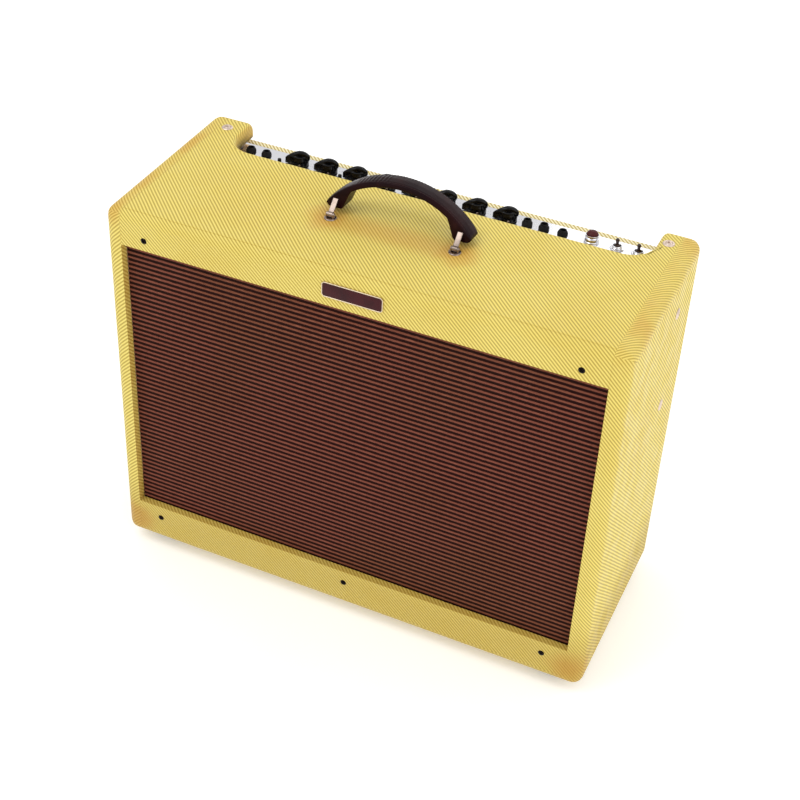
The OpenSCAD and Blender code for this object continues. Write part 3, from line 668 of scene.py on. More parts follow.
def round_corners(mesh, side):
    """Turns the corners where three rounded edges meet into parts of a ball."""
    bm = bmesh.new()
    bm.from_mesh(mesh)
    back, low, high = side_high.y, side_low.z, TOP
    for share in (0, 0.35, 0.6, 0.8, 0.93):
        inner = EDGE_R * (1 - share)
        cut_through(bm, Vector((side * (WIDE - inner), 0, 0)), Vector((1, 0, 0)))
        cut_through(bm, Vector((0, back - inner, 0)), Vector((0, 1, 0)))
        cut_through(bm, FRONT_FOOT - FRONT_OUT * inner, FRONT_OUT)
        for level in (low + inner, high - inner):
            cut_through(bm, Vector((0, 0, level)), Vector((0, 0, 1)))
    cut_through(bm, FRONT_FOOT - FRONT_OUT * (CLOTH_DEPTH + HAIR), FRONT_OUT)
    for vert in bm.verts:
        p = vert.co
        out = side * p.x - (WIDE - EDGE_R)
        behind, before = p.y - (back - EDGE_R), EDGE_R - front_depth(p)
        above, below = p.z - (high - EDGE_R), low + EDGE_R - p.z
        reach = sqrt(max(out, 0) ** 2 + max(behind, before, 0) ** 2 + max(above, below, 0) ** 2)
        if min(out, max(behind, before), max(above, below)) <= 0 or reach <= EDGE_R:
            continue
        pull = 1 - EDGE_R / reach
        p.x -= side * out * pull
        p.z -= above * pull if above > below else -below * pull
        if behind > before:
            p.y -= behind * pull
        else:
            vert.co = p - FRONT_OUT * before * pull
    bm.to_mesh(mesh)
    bm.free()


def board_copy(node, edge_width):
    """A CAD board's mesh, with each sharp edge rounded by the width the rule gives it."""
    mesh = NODES[node].data.copy()
    bm = bmesh.new()
    bm.from_mesh(mesh)
    bmesh.ops.remove_doubles(bm, verts=bm.verts, dist=0.01 * MM)
    bmesh.ops.dissolve_limit(bm, angle_limit=radians(0.4), verts=bm.verts, edges=bm.edges)
    weight = bm.edges.layers.float.new("bevel_weight_edge")
    for edge in bm.edges:
        if len(edge.link_faces) != 2 or edge.calc_length() < 0.7 * MM:
            continue
        if edge.calc_face_angle(0) > radians(28):
            mid = (edge.verts[0].co + edge.verts[1].co) / 2
            edge[weight] = edge_width(mid) / WIDEST_EDGE
    bm.to_mesh(mesh)
    bm.free()
    stand_in = add_object("stand_in", mesh)
    bevel = stand_in.modifiers.new("bevel", "BEVEL")
    bevel.limit_method = "WEIGHT"
    bevel.width = WIDEST_EDGE * MM
    bevel.segments = 4
    bevel.use_clamp_overlap = node != "top_board"
    bpy.context.view_layer.update()
    solid = stand_in.evaluated_get(bpy.context.evaluated_depsgraph_get())
    final = bpy.data.meshes.new_from_object(solid)
    bpy.data.objects.remove(stand_in)
    return final


def cloth_signs(normal, centre, side):
    """Which way each axis counts in the cloth's U, so that the lines run on round edges."""
    n = normal
    if side and abs(centre.x) > INNER - 0.0002:
        if abs(n.z) > abs(n.y):
            sign = -side if n.z > 0 else side
        else:
            sign = -side if n.y > 0 else side
        return (sign, 1, 1)
    signs = [1, 1, 1]
    if centre.y > 0.03 and n.y > 0.15:
        signs[2] = -1
    if centre.z < side_low.z + 0.02 and n.z < -0.15:
        signs[1] = -1
    if n.z < -0.5 and centre.y < 0 and centre.z > 0.3:
        signs[1] = -1
    if n.x > 0.5 and centre.y > 0.03:
        signs[2] = -1
    return tuple(signs)


def cover(node, name, edge_width, bare, side=0):
    """A board in its cloth; bare says which faces are naked wood."""
    mesh = board_copy(node, edge_width)
    if side:
        round_corners(mesh, side)
    mesh.materials.clear()
    mesh.materials.append(TWEED)
    mesh.materials.append(PINE_Z if side else PINE_X)
    cloth = np.zeros((len(mesh.loops), 2), np.float32)
    recess_shade_and_pale_edge = np.zeros(len(mesh.loops), np.float32)
    for face in mesh.polygons:
        face.use_smooth = True
        n, c = face.normal, face.center
        face.material_index = 1 if bare(n, c) else 0
        sx, sy, sz = cloth_signs(n, c, side)
        bias = max(range(3), key=lambda k: abs(n[k]))
        for corner in face.loop_indices:
            p = mesh.vertices[mesh.loops[corner].vertex_index].co
            across = sx * p.x + sy * p.y + sz * p.z
            along = (sy * p.y - sz * p.z, sx * p.x - sz * p.z, sx * p.x - sy * p.y)[bias]
            cloth[corner] = (across, along)
            recess_shade_and_pale_edge[corner] = amber_at(p, n)
    # per corner: painted shade in the recesses, and the paler top face of the back panel
    mesh.uv_layers.new(name="cloth")
    mesh.uv_layers["cloth"].uv.foreach_set("vector", cloth.ravel())
    mesh.attributes.new("recess_shade_and_pale_edge", "FLOAT", "CORNER")
    mesh.attributes["recess_shade_and_pale_edge"].data.foreach_set("value", recess_shade_and_pale_edge)
    smooth_seams(place_piece(mesh, name, "cabinet", node))


back_low, back_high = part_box("upper_back_panel")


def amber_at(p, n):
    """Painted shade on the tweed in the recesses, 0 to 1; below 0 where the upward face at the top of the back
    panel is drawn paler.
    """
    if abs(n.x) > 0.8 and abs(p.x) < INNER + 0.001:
        return 0.6
    if n.z > 0.3 and p.y > back_low.y - 0.001 and -0.005 < p.z - back_high.z < 0.001:
        return -1.0
    if n.y > 0.5 and p.z > TOP - 0.025:
        return 0.75
    if n.z > 0.6 and p.y < 0 and p.z < 0.1:
        return 0.4
    return 0.0


def side_edges(mid):
    if abs(mid.x) < INNER + 0.0002:
        front = mid.y < -0.09
        return 1.3 if front and top_low.z > mid.z > 0.06 else 0.45
    return 0.8


def top_edges(mid):
    """The cloth rolls over the upper and rear edges of the cut-out."""
    if mid.z > top_low.z + HAIR and at_cut(mid) and abs(mid.x) < INNER - HAIR:
        return CUT_ROLL
    if abs(mid.x) > INNER - HAIR:
        return 0.45
    return 0.0 if mid.z < top_low.z + HAIR and at_cut(mid) else 0.8


def rail_edges(mid):
    return 0.3 if abs(mid.x) > INNER - HAIR else 1.3


for side, word in ((-1, "left"), (1, "right")):
    cover(
        f"{word}_side_board",
        f"{word}_side_cover",
        side_edges,
        lambda n, c, s=side: n.x * s < -0.9 and front_depth(c) > CLOTH_DEPTH,
        side,
    )
cover("top_board", "top_cover", top_edges, lambda n, c: n.z < -0.9 and c.y > -0.115)
cover("bottom_board", "bottom_cover", rail_edges, lambda n, c: n.z > 0.9)
for word in ("upper", "lower"):
    cover(f"{word}_rail", f"{word}_rail_cover", rail_edges, lambda n, c: n.y > 0.9)
for word in ("upper", "lower"):
    cover(f"{word}_back_panel", f"{word}_back_cover", lambda mid: 1.6, lambda n, c: n.y < -0.9)

finish_cad("baffle_board", PLY, width=0.5)
finish_cad("panel_cleats", PINE_Z, width=0.8)

# --- grille cloth


def grille():
    low, high = cloth_low, cloth_high
    rise = high.z - low.z
    lean = FRONT_OUT.z / -FRONT_OUT.y
    depth = 0.95 * MM
    relief = 0.55 * MM
    rows = int(rise / (RIB / 8))
    columns = 60
    verts, faces, ribs = [], [], []
    for j in range(rows + 1):
        t = rise * j / rows
        crown = (0.5 + 0.5 * cos(2 * pi * t / RIB)) ** 0.8
        for i in range(columns + 1):
            x = lerp(low.x, high.x, i / columns)
            drift = 0.06 * sin(x * 37 + t * 60) + 0.05 * sin(x * 91 - t * 130)
            y = low.y + lean * t + relief * (1 - crown) * (1 + drift)
            verts.append((x, y, low.z + t))
            ribs.append(crown)
    front = len(verts)
    wide = columns + 1
    for j in range(rows):
        for i in range(columns):
            a = j * wide + i
            faces.append([a, a + 1, a + wide + 1, a + wide])
    rim = list(range(columns)) + [j * wide + columns for j in range(rows)]
    rim += [rows * wide + i for i in range(columns, 0, -1)] + [j * wide for j in range(rows, 0, -1)]
    for index in rim:
        x, _, z = verts[index]
        verts.append((x, low.y + lean * (z - low.z) + depth, z))
        ribs.append(0.3)
    count = len(rim)
    for k in range(count):
        after = (k + 1) % count
        faces.append([rim[k], front + k, front + after, rim[after]])
    faces.append([front + k for k in range(count)])
    mesh = bpy.data.meshes.new("grille_weave")
    mesh.from_pydata(verts, [], faces)
    mesh.materials.append(GRILLE)
    mesh.attributes.new("rib", "FLOAT", "POINT").data.foreach_set("value", ribs)
    tidy(mesh)
    mesh.shade_smooth()
    mesh.set_sharp_from_angle(angle=radians(60))
    mesh.update()
    piece = place_piece(mesh, "grille_weave", "cabinet", "grille_cloth")


grille()

# --- small hardware


def solids(node):
    """Boxes (low, high) of a node's separate solids, from left to right."""
    bm = bmesh.new()
    bm.from_mesh(NODES[node].data)
    bmesh.ops.transform(bm, matrix=NODES[node].matrix_world, verts=bm.verts)
    bmesh.ops.remove_doubles(bm, verts=bm.verts, dist=0.005 * MM)
    seen, boxes = set(), []
    for start in bm.verts:
        if start in seen:
            continue
        seen.add(start)
        waiting, points = [start], []
        while waiting:
            vert = waiting.pop()
            points.append(tuple(vert.co))
            for edge in vert.link_edges:
                other = edge.other_vert(vert)
                if other not in seen:
                    seen.add(other)
                    waiting.append(other)
        cloud = np.array(points)
        boxes.append((Vector(cloud.min(0)), Vector(cloud.max(0))))
    bm.free()
    return sorted(boxes, key=lambda box: [round(c, 4) for c in box[0] + box[1]])


def middles(node):
    return [(low + high) / 2 for low, high in solids(node)]


def ring(radius, z, steps=48):
    """Points round Z; radius is a number or a function of the angle."""
    size = radius if callable(radius) else lambda t: radius
    turn = [2 * pi * i / steps for i in range(steps)]
    return [(size(t) * cos(t), size(t) * sin(t), z) for t in turn]


def hexagon(apothem):
    return lambda t: apothem / cos(t % (pi / 3) - pi / 6)


def closed_loft(shape, rings, place=None, slot=0):
    shape.loft(rings + [rings[0]], place, slot, caps=False)


def nut(shape, place, across, height, hole, slot=0):
    """Six-sided nut with chamfered corners, standing on local Z = 0."""
    flat = across / 2
    corner = flat / cos(pi / 6)
    side = hexagon(flat)
    chamfer = (corner - flat) * 0.6
    rings = [ring(hole + 0.3, 0), ring(hole, 0.3), ring(hole, height - 0.3), ring(hole + 0.3, height)]
    for z, limit in (
        (height, flat * 0.97),
        (height - chamfer / 2, (flat + corner) / 2),
        (height - chamfer, corner),
        (chamfer, corner),
        (chamfer / 2, (flat + corner) / 2),
        (0, flat * 0.97),
    ):
        rings.append(ring(lambda t, top=limit: min(side(t), top), z))
    closed_loft(shape, rings, place, slot)


def cross_angles(narrow):
    turns = [0, narrow, pi * 0.13, pi * 0.19, pi / 4]
    turns += [pi / 2 - t for t in (pi * 0.19, pi * 0.13, narrow)]
    return [t + q * pi / 2 for q in range(4) for t in turns]


def screw(shape, place, head_r, head_h, shank_r, shank_l, slot=0):
    """Domed screw with a cross recess; its head stands on local Z = 0."""
    arm, half = head_r * 0.56, head_r * 0.13
    turns = cross_angles(atan2(half, arm))
    ball = (head_r**2 + head_h**2) / (2 * head_h)

    def dome(r):
        return head_h - ball + sqrt(ball * ball - r * r)

    def cross(t):
        c, s = abs(cos(t)) + 1e-6, abs(sin(t)) + 1e-6
        return max(min(arm / c, half / s), min(arm / s, half / c))

    def around(size, height):
        points = []
        for t in turns:
            r = size(t) if callable(size) else size
            z = height(r) if callable(height) else height
            points.append((r * cos(t), r * sin(t), z))
        return points

    rings = [[(0, 0, -shank_l)], around(shank_r * 0.6, 0.8 - shank_l), around(shank_r, 2.4 - shank_l)]
    rings += [around(shank_r, -0.1), around(head_r - 0.12, 0), around(head_r, 0.1)]
    rings += [around(head_r * share, dome) for share in (0.96, 0.88, 0.78, 0.68)]
    rings += [around(cross, dome), around(lambda t: cross(t) * 0.93, head_h * 0.5)]
    rings += [around(lambda t: cross(t) * 0.7, max(head_h - 1.6, 0.0)), [(0, 0, max(head_h - 1.9, -0.3))]]
    shape.loft(rings, place, slot)


def cup(shape, place):
    """Dished washer with a rolled rim."""
    profile = [(3.85, 0.55), (5.6, 0), (6.5, 0), (6.7, 0.25), (6.3, 0.75), (5.5, 1.2), (4.9, 1.35)]
    profile += [(4.4, 1.2), (4.05, 0.8)]
    shape.revolve(profile, place, 0, 56)


def front_spot(middle, standing):
    """A place on the front face from the middle of a thing that stands out of it."""
    return facing(middle - FRONT_OUT * standing * MM / 2, FRONT_OUT)


def badge():
    low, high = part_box("badge_plate")
    clip = 2.5
    w, h = (high.x - low.x) / MM / 2, 9.0
    corners = [(-w + clip, -h), (w - clip, -h), (w, -h + clip), (w, h - clip)]
    corners += [(w - clip, h), (-w + clip, h), (-w, h - clip), (-w, -h + clip)]
    outline = fillet([(x, y, 0.9) for x, y in corners], 3)
    shape = Shape(front_spot((low + high) / 2, 1.7))
    shape.slab(inset(outline, 0.5), 0, 1.2, 0.15)
    rings = []
    rim = [(0.15, 0), (0, 0.2), (0, 1.35), (0.12, 1.62), (0.35, 1.75), (0.75, 1.75), (1.0, 1.6)]
    for step, z in rim + [(1.15, 1.3), (1.15, 0.4)]:
        rings.append([(x, y, z) for x, y in inset(outline, step)])
    closed_loft(shape, rings, None, 1)
    shape.build("badge_with_rim", "badge_plate", "badge", ENAMEL, PALE_RIM)


def rail_screws():
    shape = Shape()
    for low, high in solids("rail_screws"):
        # The shank runs back from the head, so the head's place is taken from the front of the box
        middle = (low + high) / 2
        reach = (high.y - low.y) / MM / 2 / abs(FRONT_OUT.y)
        tip = middle + FRONT_OUT * (reach - 0.08) * MM
        place = facing(tip - FRONT_OUT * 1.8 * MM, FRONT_OUT) @ spun(middle.x * 1700)
        screw(shape, place, 3.7, 1.8, 1.85, 22)
    shape.build("rail_screws_cross", "rail_screws", "black_screw", BLACK_STEEL)


def back_screws():
    shape = Shape()
    for low, high in solids("back_panel_screws"):
        middle = (low + high) / 2
        spot = Vector((middle.x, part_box("upper_back_panel")[1].y, middle.z))
        head = (high.y - spot.y) / MM
        place = facing(spot, (0, 1, 0)) @ spun(middle.z * 2900 + middle.x * 700)
        screw(shape, place, 3.7, head, 1.85, 21)
    shape.build("back_panel_screws_cross", "back_panel_screws", "nickel", NICKEL)


def cup_washer_screws():
    shape = Shape()
    for low, high in solids("cup_washer_screws"):
        middle = (low + high) / 2
        if high.z > TOP:
            place = at(middle.x / MM, middle.y / MM, TOP / MM)
            screw(shape, place @ at(0, 0, 0.6) @ spun(middle.x * 900), 3.8, 1.5, 2.9, 26)
            cup(shape, place)
        elif abs(middle.x) > INNER:
            out = copysign(1, middle.x)
            place = facing((out * WIDE, middle.y, middle.z), (out, 0, 0), (0, 1, 0))
            screw(shape, place @ at(0, 0, 0.6) @ spun(middle.z * 800), 3.8, 1.5, 1.85, 14)
            cup(shape, place)
        else:
            place = at(middle.x / MM, middle.y / MM, low.z / MM)
            nut(shape, place, 10, (high.z - low.z) / MM, 3.0)
    shape.build("cup_washer_screws_fine", "cup_washer_screws", "nickel", CUP_NICKEL)


def feet():
    shape = Shape()
    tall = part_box("rubber_feet")[1].z / MM
    profile = [(0, 6), (4.7, 6), (5, 5.7), (5, 0.8), (5.6, 0.15), (6.2, 0), (14, 0), (14.8, 0.3), (15.2, 1)]
    profile += [(16.3, tall * 0.5), (17.3, tall - 1.2), (17.3, tall - 0.3), (17, tall), (0, tall)]
    for middle in middles("rubber_feet"):
        place = at(middle.x / MM, middle.y / MM)
        shape.revolve(profile, place, 0, 64)
        screw(shape, place @ at(0, 0, 6) @ spun(180, "X") @ spun(middle.x * 400), 3.9, 1.5, 1.8, 4, 1)
    shape.build("rubber_feet_fine", "rubber_feet", "rubber", RUBBER, NICKEL)


badge()
rail_screws()
back_screws()
cup_washer_screws()
feet()

# --- control panel

finish_cad("chassis_pan", STEEL, width=0.4)
finish_cad("control_panel", CHROME, width=0.25)
finish_cad("potentiometers", STEEL, width=0.3)
finish_cad("circuit_board", BOARD, width=0.2)
finish_cad("filter_capacitors", SLEEVE, width=1.2, segments=3)

KNOBS = ("volume", "drive", "treble", "bass", "middle", "master", "reverb", "presence")
SHEET = 1.5
REST_TURN = -160


def knob_place(word):
    return panel(JOINTS[f"{word}_turn"]["pos_m"][0])


def digit_meshes(count):
    """Solid numbers from 1 to count, one millimetre high."""
    found = []
    for number in range(1, count + 1):
        curve = bpy.data.curves.new("digit", "FONT")
        curve.body = str(number)
        curve.size = 1.0
        curve.extrude = 0.01
        curve.resolution_u = 3
        curve.align_x = "CENTER"
        curve.align_y = "CENTER"
        stand_in = add_object("digit", curve)
        bpy.context.view_layer.update()
        mesh = stand_in.to_mesh()
        verts = [tuple(v.co) for v in mesh.vertices]
        faces = [list(face.vertices) for face in mesh.polygons]
        stand_in.to_mesh_clear()
        bpy.data.objects.remove(stand_in)
        bpy.data.curves.remove(curve)
        found.append((verts, faces))
    return found


def dial_marks():
    """Scale round each knob, read from behind as on the real panel."""
    shape = Shape()
    digits = digit_meshes(12)
    for word in KNOBS:
        dial = knob_place(word)
        taken = {"treble": (8,), "presence": range(2, 4)}.get(word, ())
        for i in range(12):
            turn = 90 + 150 - i * 300 / 11
            ray = dial @ spun(turn + 180)
            shape.box((12.6, -0.12, 0.0), (14.2, 0.12, 0.03), 0.1, 0.01, ray)
            if i not in taken:
                verts, faces = digits[i]
                spot = ray @ at(16.2, 0, 0.02) @ spun(-turn)
                shape.add([(x * 2.0, y * 2.0, z) for x, y, z in verts], faces, spot)
    shape.build("dial_marks", None, None, INK, flat=True)


def jack(shape, place, rise, hat):
    """Threaded bushing with its black nut, over a moulded body."""
    shape.box((-9, -10, -24), (9, 10, -SHEET - 0.02), 1.2, 0.6, place, 0)
    bore = [(3.3, -22), (3.3, rise - 0.5), (3.75, rise), (4.15, rise)]
    outer = thread(4.6, 0.2, rise - 0.4, 0.75, 0.28)[::-1] + [(4.55, -0.4), (4.55, -SHEET - 0.5)]
    shape.revolve(bore + outer + [(4.55, -22)], place, 0, 40)
    if hat:
        profile = [(4.7, 0), (5.9, 0), (6, 0.2), (6, 2.7), (5.7, 3.4), (5.2, 3.9), (4.7, 3.9)]
        shape.revolve(profile, place, 1, 48)
        return

    def knurl(size):
        return lambda t: size + 0.12 * cos(24 * t)

    levels = [(4.7, 0), (5.8, 0), (knurl(5.9), 0.3), (knurl(5.9), 1.7), (5.7, 2.4), (5.4, 3.3)]
    levels += [(5.0, 3.9), (4.7, 4.0)]
    closed_loft(shape, [ring(radius, z, 96) for radius, z in levels], place, 1)


def jacks():
    inputs = Shape()
    loops = Shape()
    nuts = Shape()
    for name in ("input_jack_1", "input_jack_2"):
        jack(inputs, panel(MOUNTS[name]["pos_m"][0]), 5.5, False)
    for name in ("footswitch_jack", "preamp_out_jack", "power_amp_in_jack"):
        last = name == "power_amp_in_jack"
        jack(loops, panel(MOUNTS[name]["pos_m"][0]), 5.5 if last else 7, not last)
    for word in KNOBS:
        nut(nuts, knob_place(word), 9.3, 2, 3.55)
    inputs.build("input_jacks_fine", "input_jacks", "black_plastic", SATIN, RUBBER)
    loops.build("loop_jacks_fine", "loop_jacks", "black_plastic", SATIN, RUBBER)
    nuts.build("shaft_nuts", "panel_nuts", "nut_black", STEEL)


def push_buttons():
    shells = Shape()
    front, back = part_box("button_switches")
    slide = ((front.y + back.y) / 2 - PANEL_SPOT.y) / MM
    for word in ("bright", "select"):
        low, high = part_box(f"{word}_button")
        place = panel((low.x + high.x) / 2, slide)
        cap = Shape(place)
        profile = [(0, -8), (2, -8), (2.2, -7.8), (2.2, 4.5), (2.1, 5), (1.8, 5.4), (1.4, 5.5), (0, 5.25)]
        cap.revolve(profile, None, 0, 40)
        cap.build(f"{word}_button_cap", f"{word}_button", "black_plastic", SATIN, body=f"{word}_button")
        shells.box((-5, -5, -13), (5, 5, -SHEET - 0.02), 0.8, 0.4, place)
        wall = [(2.3, -SHEET), (3.7, -SHEET), (3.7, 0.3), (3.5, 0.5), (2.5, 0.5), (2.3, 0.3)]
        shells.revolve(wall, place, 0, 40)
    shells.build("button_shells", "button_switches", "steel", STEEL)


def toggles():
    shape = Shape()
    for word in ("standby", "power"):
        pivot = Vector(JOINTS[f"{word}_flip"]["pos_m"])
        place = panel(pivot.x)
        shape.box((-7, -14, -20), (7, 14, -SHEET - 0.02), 1, 0.5, place)
        profile = [(4.6, -SHEET), (4.6, 4.1), (4.9, 4.4), (5.4, 4.4)]
        profile += thread(5.85, 1.5, 4.2, 0.8, 0.3)[::-1] + [(5.6, 1.3), (5.6, -SHEET)]
        shape.revolve(profile, place, 0, 56)
        nut(shape, place, 14.4, 1.4, 5.65)
        lever = Shape(facing(pivot, PANEL_UP) @ spun(12, "X"))
        stem = [(0, -3.9)]
        for k in range(1, 9):
            angle = radians(-90 + 17.5 * k)
            stem.append((3.9 * cos(angle), 3.9 * sin(angle)))
        stem += [(1.95, 3.7), (1.65, 4.4), (1.62, 5.2), (1.8, 6.4), (2.05, 8)]
        for k in range(7):
            angle = radians(-5 + 95 * k / 7)
            stem.append((2.2 * cos(angle), 9 + 2.2 * sin(angle)))
        stem.append((0, 11.2))
        lever.revolve(stem, None, 0, 40)
        axle = [(0, -5.3), (0.8, -5.3), (0.9, -5.2), (0.9, 5.2), (0.8, 5.3), (0, 5.3)]
        lever.revolve(axle, spun(90, "Y"), 0, 20)
        lever.build(f"{word}_bat", f"{word}_lever", "chrome", LEVER_CHROME_SHADED, body=f"{word}_lever")
    shape.build("toggle_switches_fine", "toggle_switches", "chrome", CHROME)


def jewel():
    low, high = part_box("jewel_bezel")
    place = panel((low.x + high.x) / 2)
    bezel = Shape(place)
    profile = [(5.5, -14), (6.5, -14), (6.5, 0), (8.3, 0), (8.6, 0.3), (8.6, 1.5), (8.3, 2), (7.9, 2.2)]
    profile += [(7.7, 2.6), (7.7, 4.6), (7.45, 4.9), (7.45, 5.3), (7.7, 5.6), (7.7, 9.2), (7.5, 9.5)]
    profile += [(7.1, 9.5), (6.9, 9.3), (6.9, 5.9), (5.5, 5.9)]
    bezel.revolve(profile, None, 0, 72)
    bezel.build("jewel_bezel_fine", "jewel_bezel", "chrome", CHROME)
    lens = Shape(place)
    count = 14
    levels = ((6.75, 6, 0.0), (6.75, 9.6, 0.0), (6.2, 11.4, 0.5), (4.6, 13.0, 1.0), (2.3, 13.95, 1.5))
    verts, faces = [], []
    for radius, z, shift in levels:
        for i in range(count):
            t = 2 * pi * (i + shift) / count
            verts.append((radius * cos(t), radius * sin(t), z))
    for level in range(len(levels) - 1):
        a, b = level * count, (level + 1) * count
        for i in range(count):
            j = (i + 1) % count
            if levels[level][2] == levels[level + 1][2]:
                faces.append([a + i, a + j, b + j, b + i])
            else:
                faces += [[a + i, a + j, b + i], [a + j, b + j, b + i]]
    faces.append(list(range(count))[::-1])
    faces.append([(len(levels) - 1) * count + i for i in range(count)])
    lens.add(verts, faces)
    lens.build("jewel_cut_glass", "jewel_lens", "jewel", JEWEL, flat=True)


# --- pointer knobs


# Heights and, at each, the fin's reach to its tip, its reach to its back and half its width
FRONT_LINE = (
    [0.8, 7.2, 9.2, 10.8, 12.6, 14, 15.2, 15.7, 16],
    [16.8, 16.8, 15.0, 12.7, 10.3, 7.6, 4.6, 2.8, 0.6],
)
BACK_LINE = (
    [4.9, 5.2, 5.6, 7.5, 10, 12, 13.6, 14.8, 15.5, 16],
    [7.5, 10.4, 11.4, 12.0, 12.1, 11.0, 9.3, 7.4, 5.6, 2.4],
)
HALF_LINE = ([0.8, 10, 14, 15.2, 15.7, 16], [3.8, 3.7, 3.4, 2.9, 2.3, 0.7])


def knob_radius(t, z):
    """Outline of the pointer knob at a height: a round foot with a fin across it."""
    c, s = cos(t), abs(sin(t)) + 1e-6
    half = float(np.interp(z, *HALF_LINE))
    if c > 0:
        length = float(np.interp(z, *FRONT_LINE))
        start = min(6.0, length * 0.4)
        taper = (half - 0.75) / max(length - start, 0.5)
        limits = (half / s, (half + start * taper) / (s + c * taper), length / max(c, 1e-6))
        bar = sum(r**-16 for r in limits) ** (-1 / 16)
    else:
        length = float(np.interp(z, *BACK_LINE))
        bar = ((-c / length) ** 2.3 + (s / half) ** 2.3) ** (-1 / 2.3)
    if z < 4.12:
        foot = lerp(11.0, 10.6, smooth(0.8, 4.1, z))
    else:
        foot = lerp(8.6, 7.0, smooth(4.1, 10.8, z)) * (1 - smooth(9.8, 11.6, z))
    return (max(foot, 0.01) ** 10 + bar**10) ** 0.1


def knob(word):
    shape = Shape(knob_place(word) @ spun(REST_TURN))
    heights = [0.8, 0.95, 1.3, 2.4, 3.6, 3.95, 4.1, 4.2, 4.6, 4.9, 5.05, 5.2, 5.4, 5.6, 6.3, 7.2, 7.5]
    heights += [8.2, 9.2, 9.8, 10.2, 10.8, 11.2, 11.6, 12.2, 12.9, 13.6, 14.2, 14.8, 15.2, 15.5]
    heights += [15.7, 15.87, 16]
    steps = 96
    bore = ((6.4, 6.4), (6.6, 6.2), (6.6, 1.1), (6.9, 0.8))
    rings = [[(0, 0, 6.4)]] + [ring(radius, z, steps) for radius, z in bore]
    for z in heights:
        trim = 0.25 if z == 0.8 else 0.07 if z == 0.95 else 0.0
        rings.append(ring(lambda t, up=z, less=trim: knob_radius(t, up) - less, z, steps))
    rings.append([(0, 0, 16.02)])
    shape.loft(rings)
    shape.revolve([(0, -9), (2.7, -9), (3, -8.7), (3, 6.3), (2.7, 6.45), (0, 6.45)], None, 1, 32)
    spot = spun(95) @ at(10.45, 0, 2.6) @ spun(90, "Y")
    set_screw = [(0, 0.05), (0.55, 0.05), (0.65, 0.45), (1.15, 0.5), (1.3, 0.35), (1.3, -1), (0, -1)]
    shape.revolve(set_screw, spot, 1, 24)
    node = f"{word}_knob"
    shape.build(f"{word}_pointer", node, "knob_plastic", GLOSS, NICKEL, body=node, angle=50)


dial_marks()
jacks()
push_buttons()
toggles()
jewel()
for word in KNOBS:
    knob(word)

# --- under the chassis

CHASSIS_DEEP = 66.0


def under(x, v):
    """Local Z down out of the chassis, x in metres and v in millimetres."""
    return panel(x, v) @ at(0, 0, -CHASSIS_DEEP) @ Matrix.Scale(-1, 4, (0, 0, 1))


def transformer(node, width, length, height):
    middle = middles(node)[0]
    place = under(middle.x, -15)
    shape = Shape(place)
    edge = height * 0.3
    w, d = width / 2, length / 2
    shape.box((-w, -d, edge), (w, d, height - edge), 0.6, 0.3, None, 1)
    for low, high in ((0.05, edge), (height - edge, height)):
        shape.box((-w + 4, -d + 5, low), (w - 4, d - 5, high), 9, 5, None, 0)
    for z in (edge - 1.2, height - edge - 0.3):
        shape.box((-w, -d, z), (w, d, z + 1.5), 3, 0.4, None, 0)
    tip = height - edge + 5.4
    bolt = [(0, edge - 2), (1.95, edge - 2), (1.95, tip - 0.4), (1.6, tip), (0, tip)]
    for x in (-w + 5.5, w - 5.5):
        for y in (-d + 5.5, d - 5.5):
            nut(shape, at(x, y, height - edge + 1.2), 7, 3, 1.9, 2)
            shape.revolve(bolt, at(x, y), 2, 20)
    shape.build(f"{node}_fine", node, "transformer_black", ENAMEL_BLACK, LAYERS, STEEL)


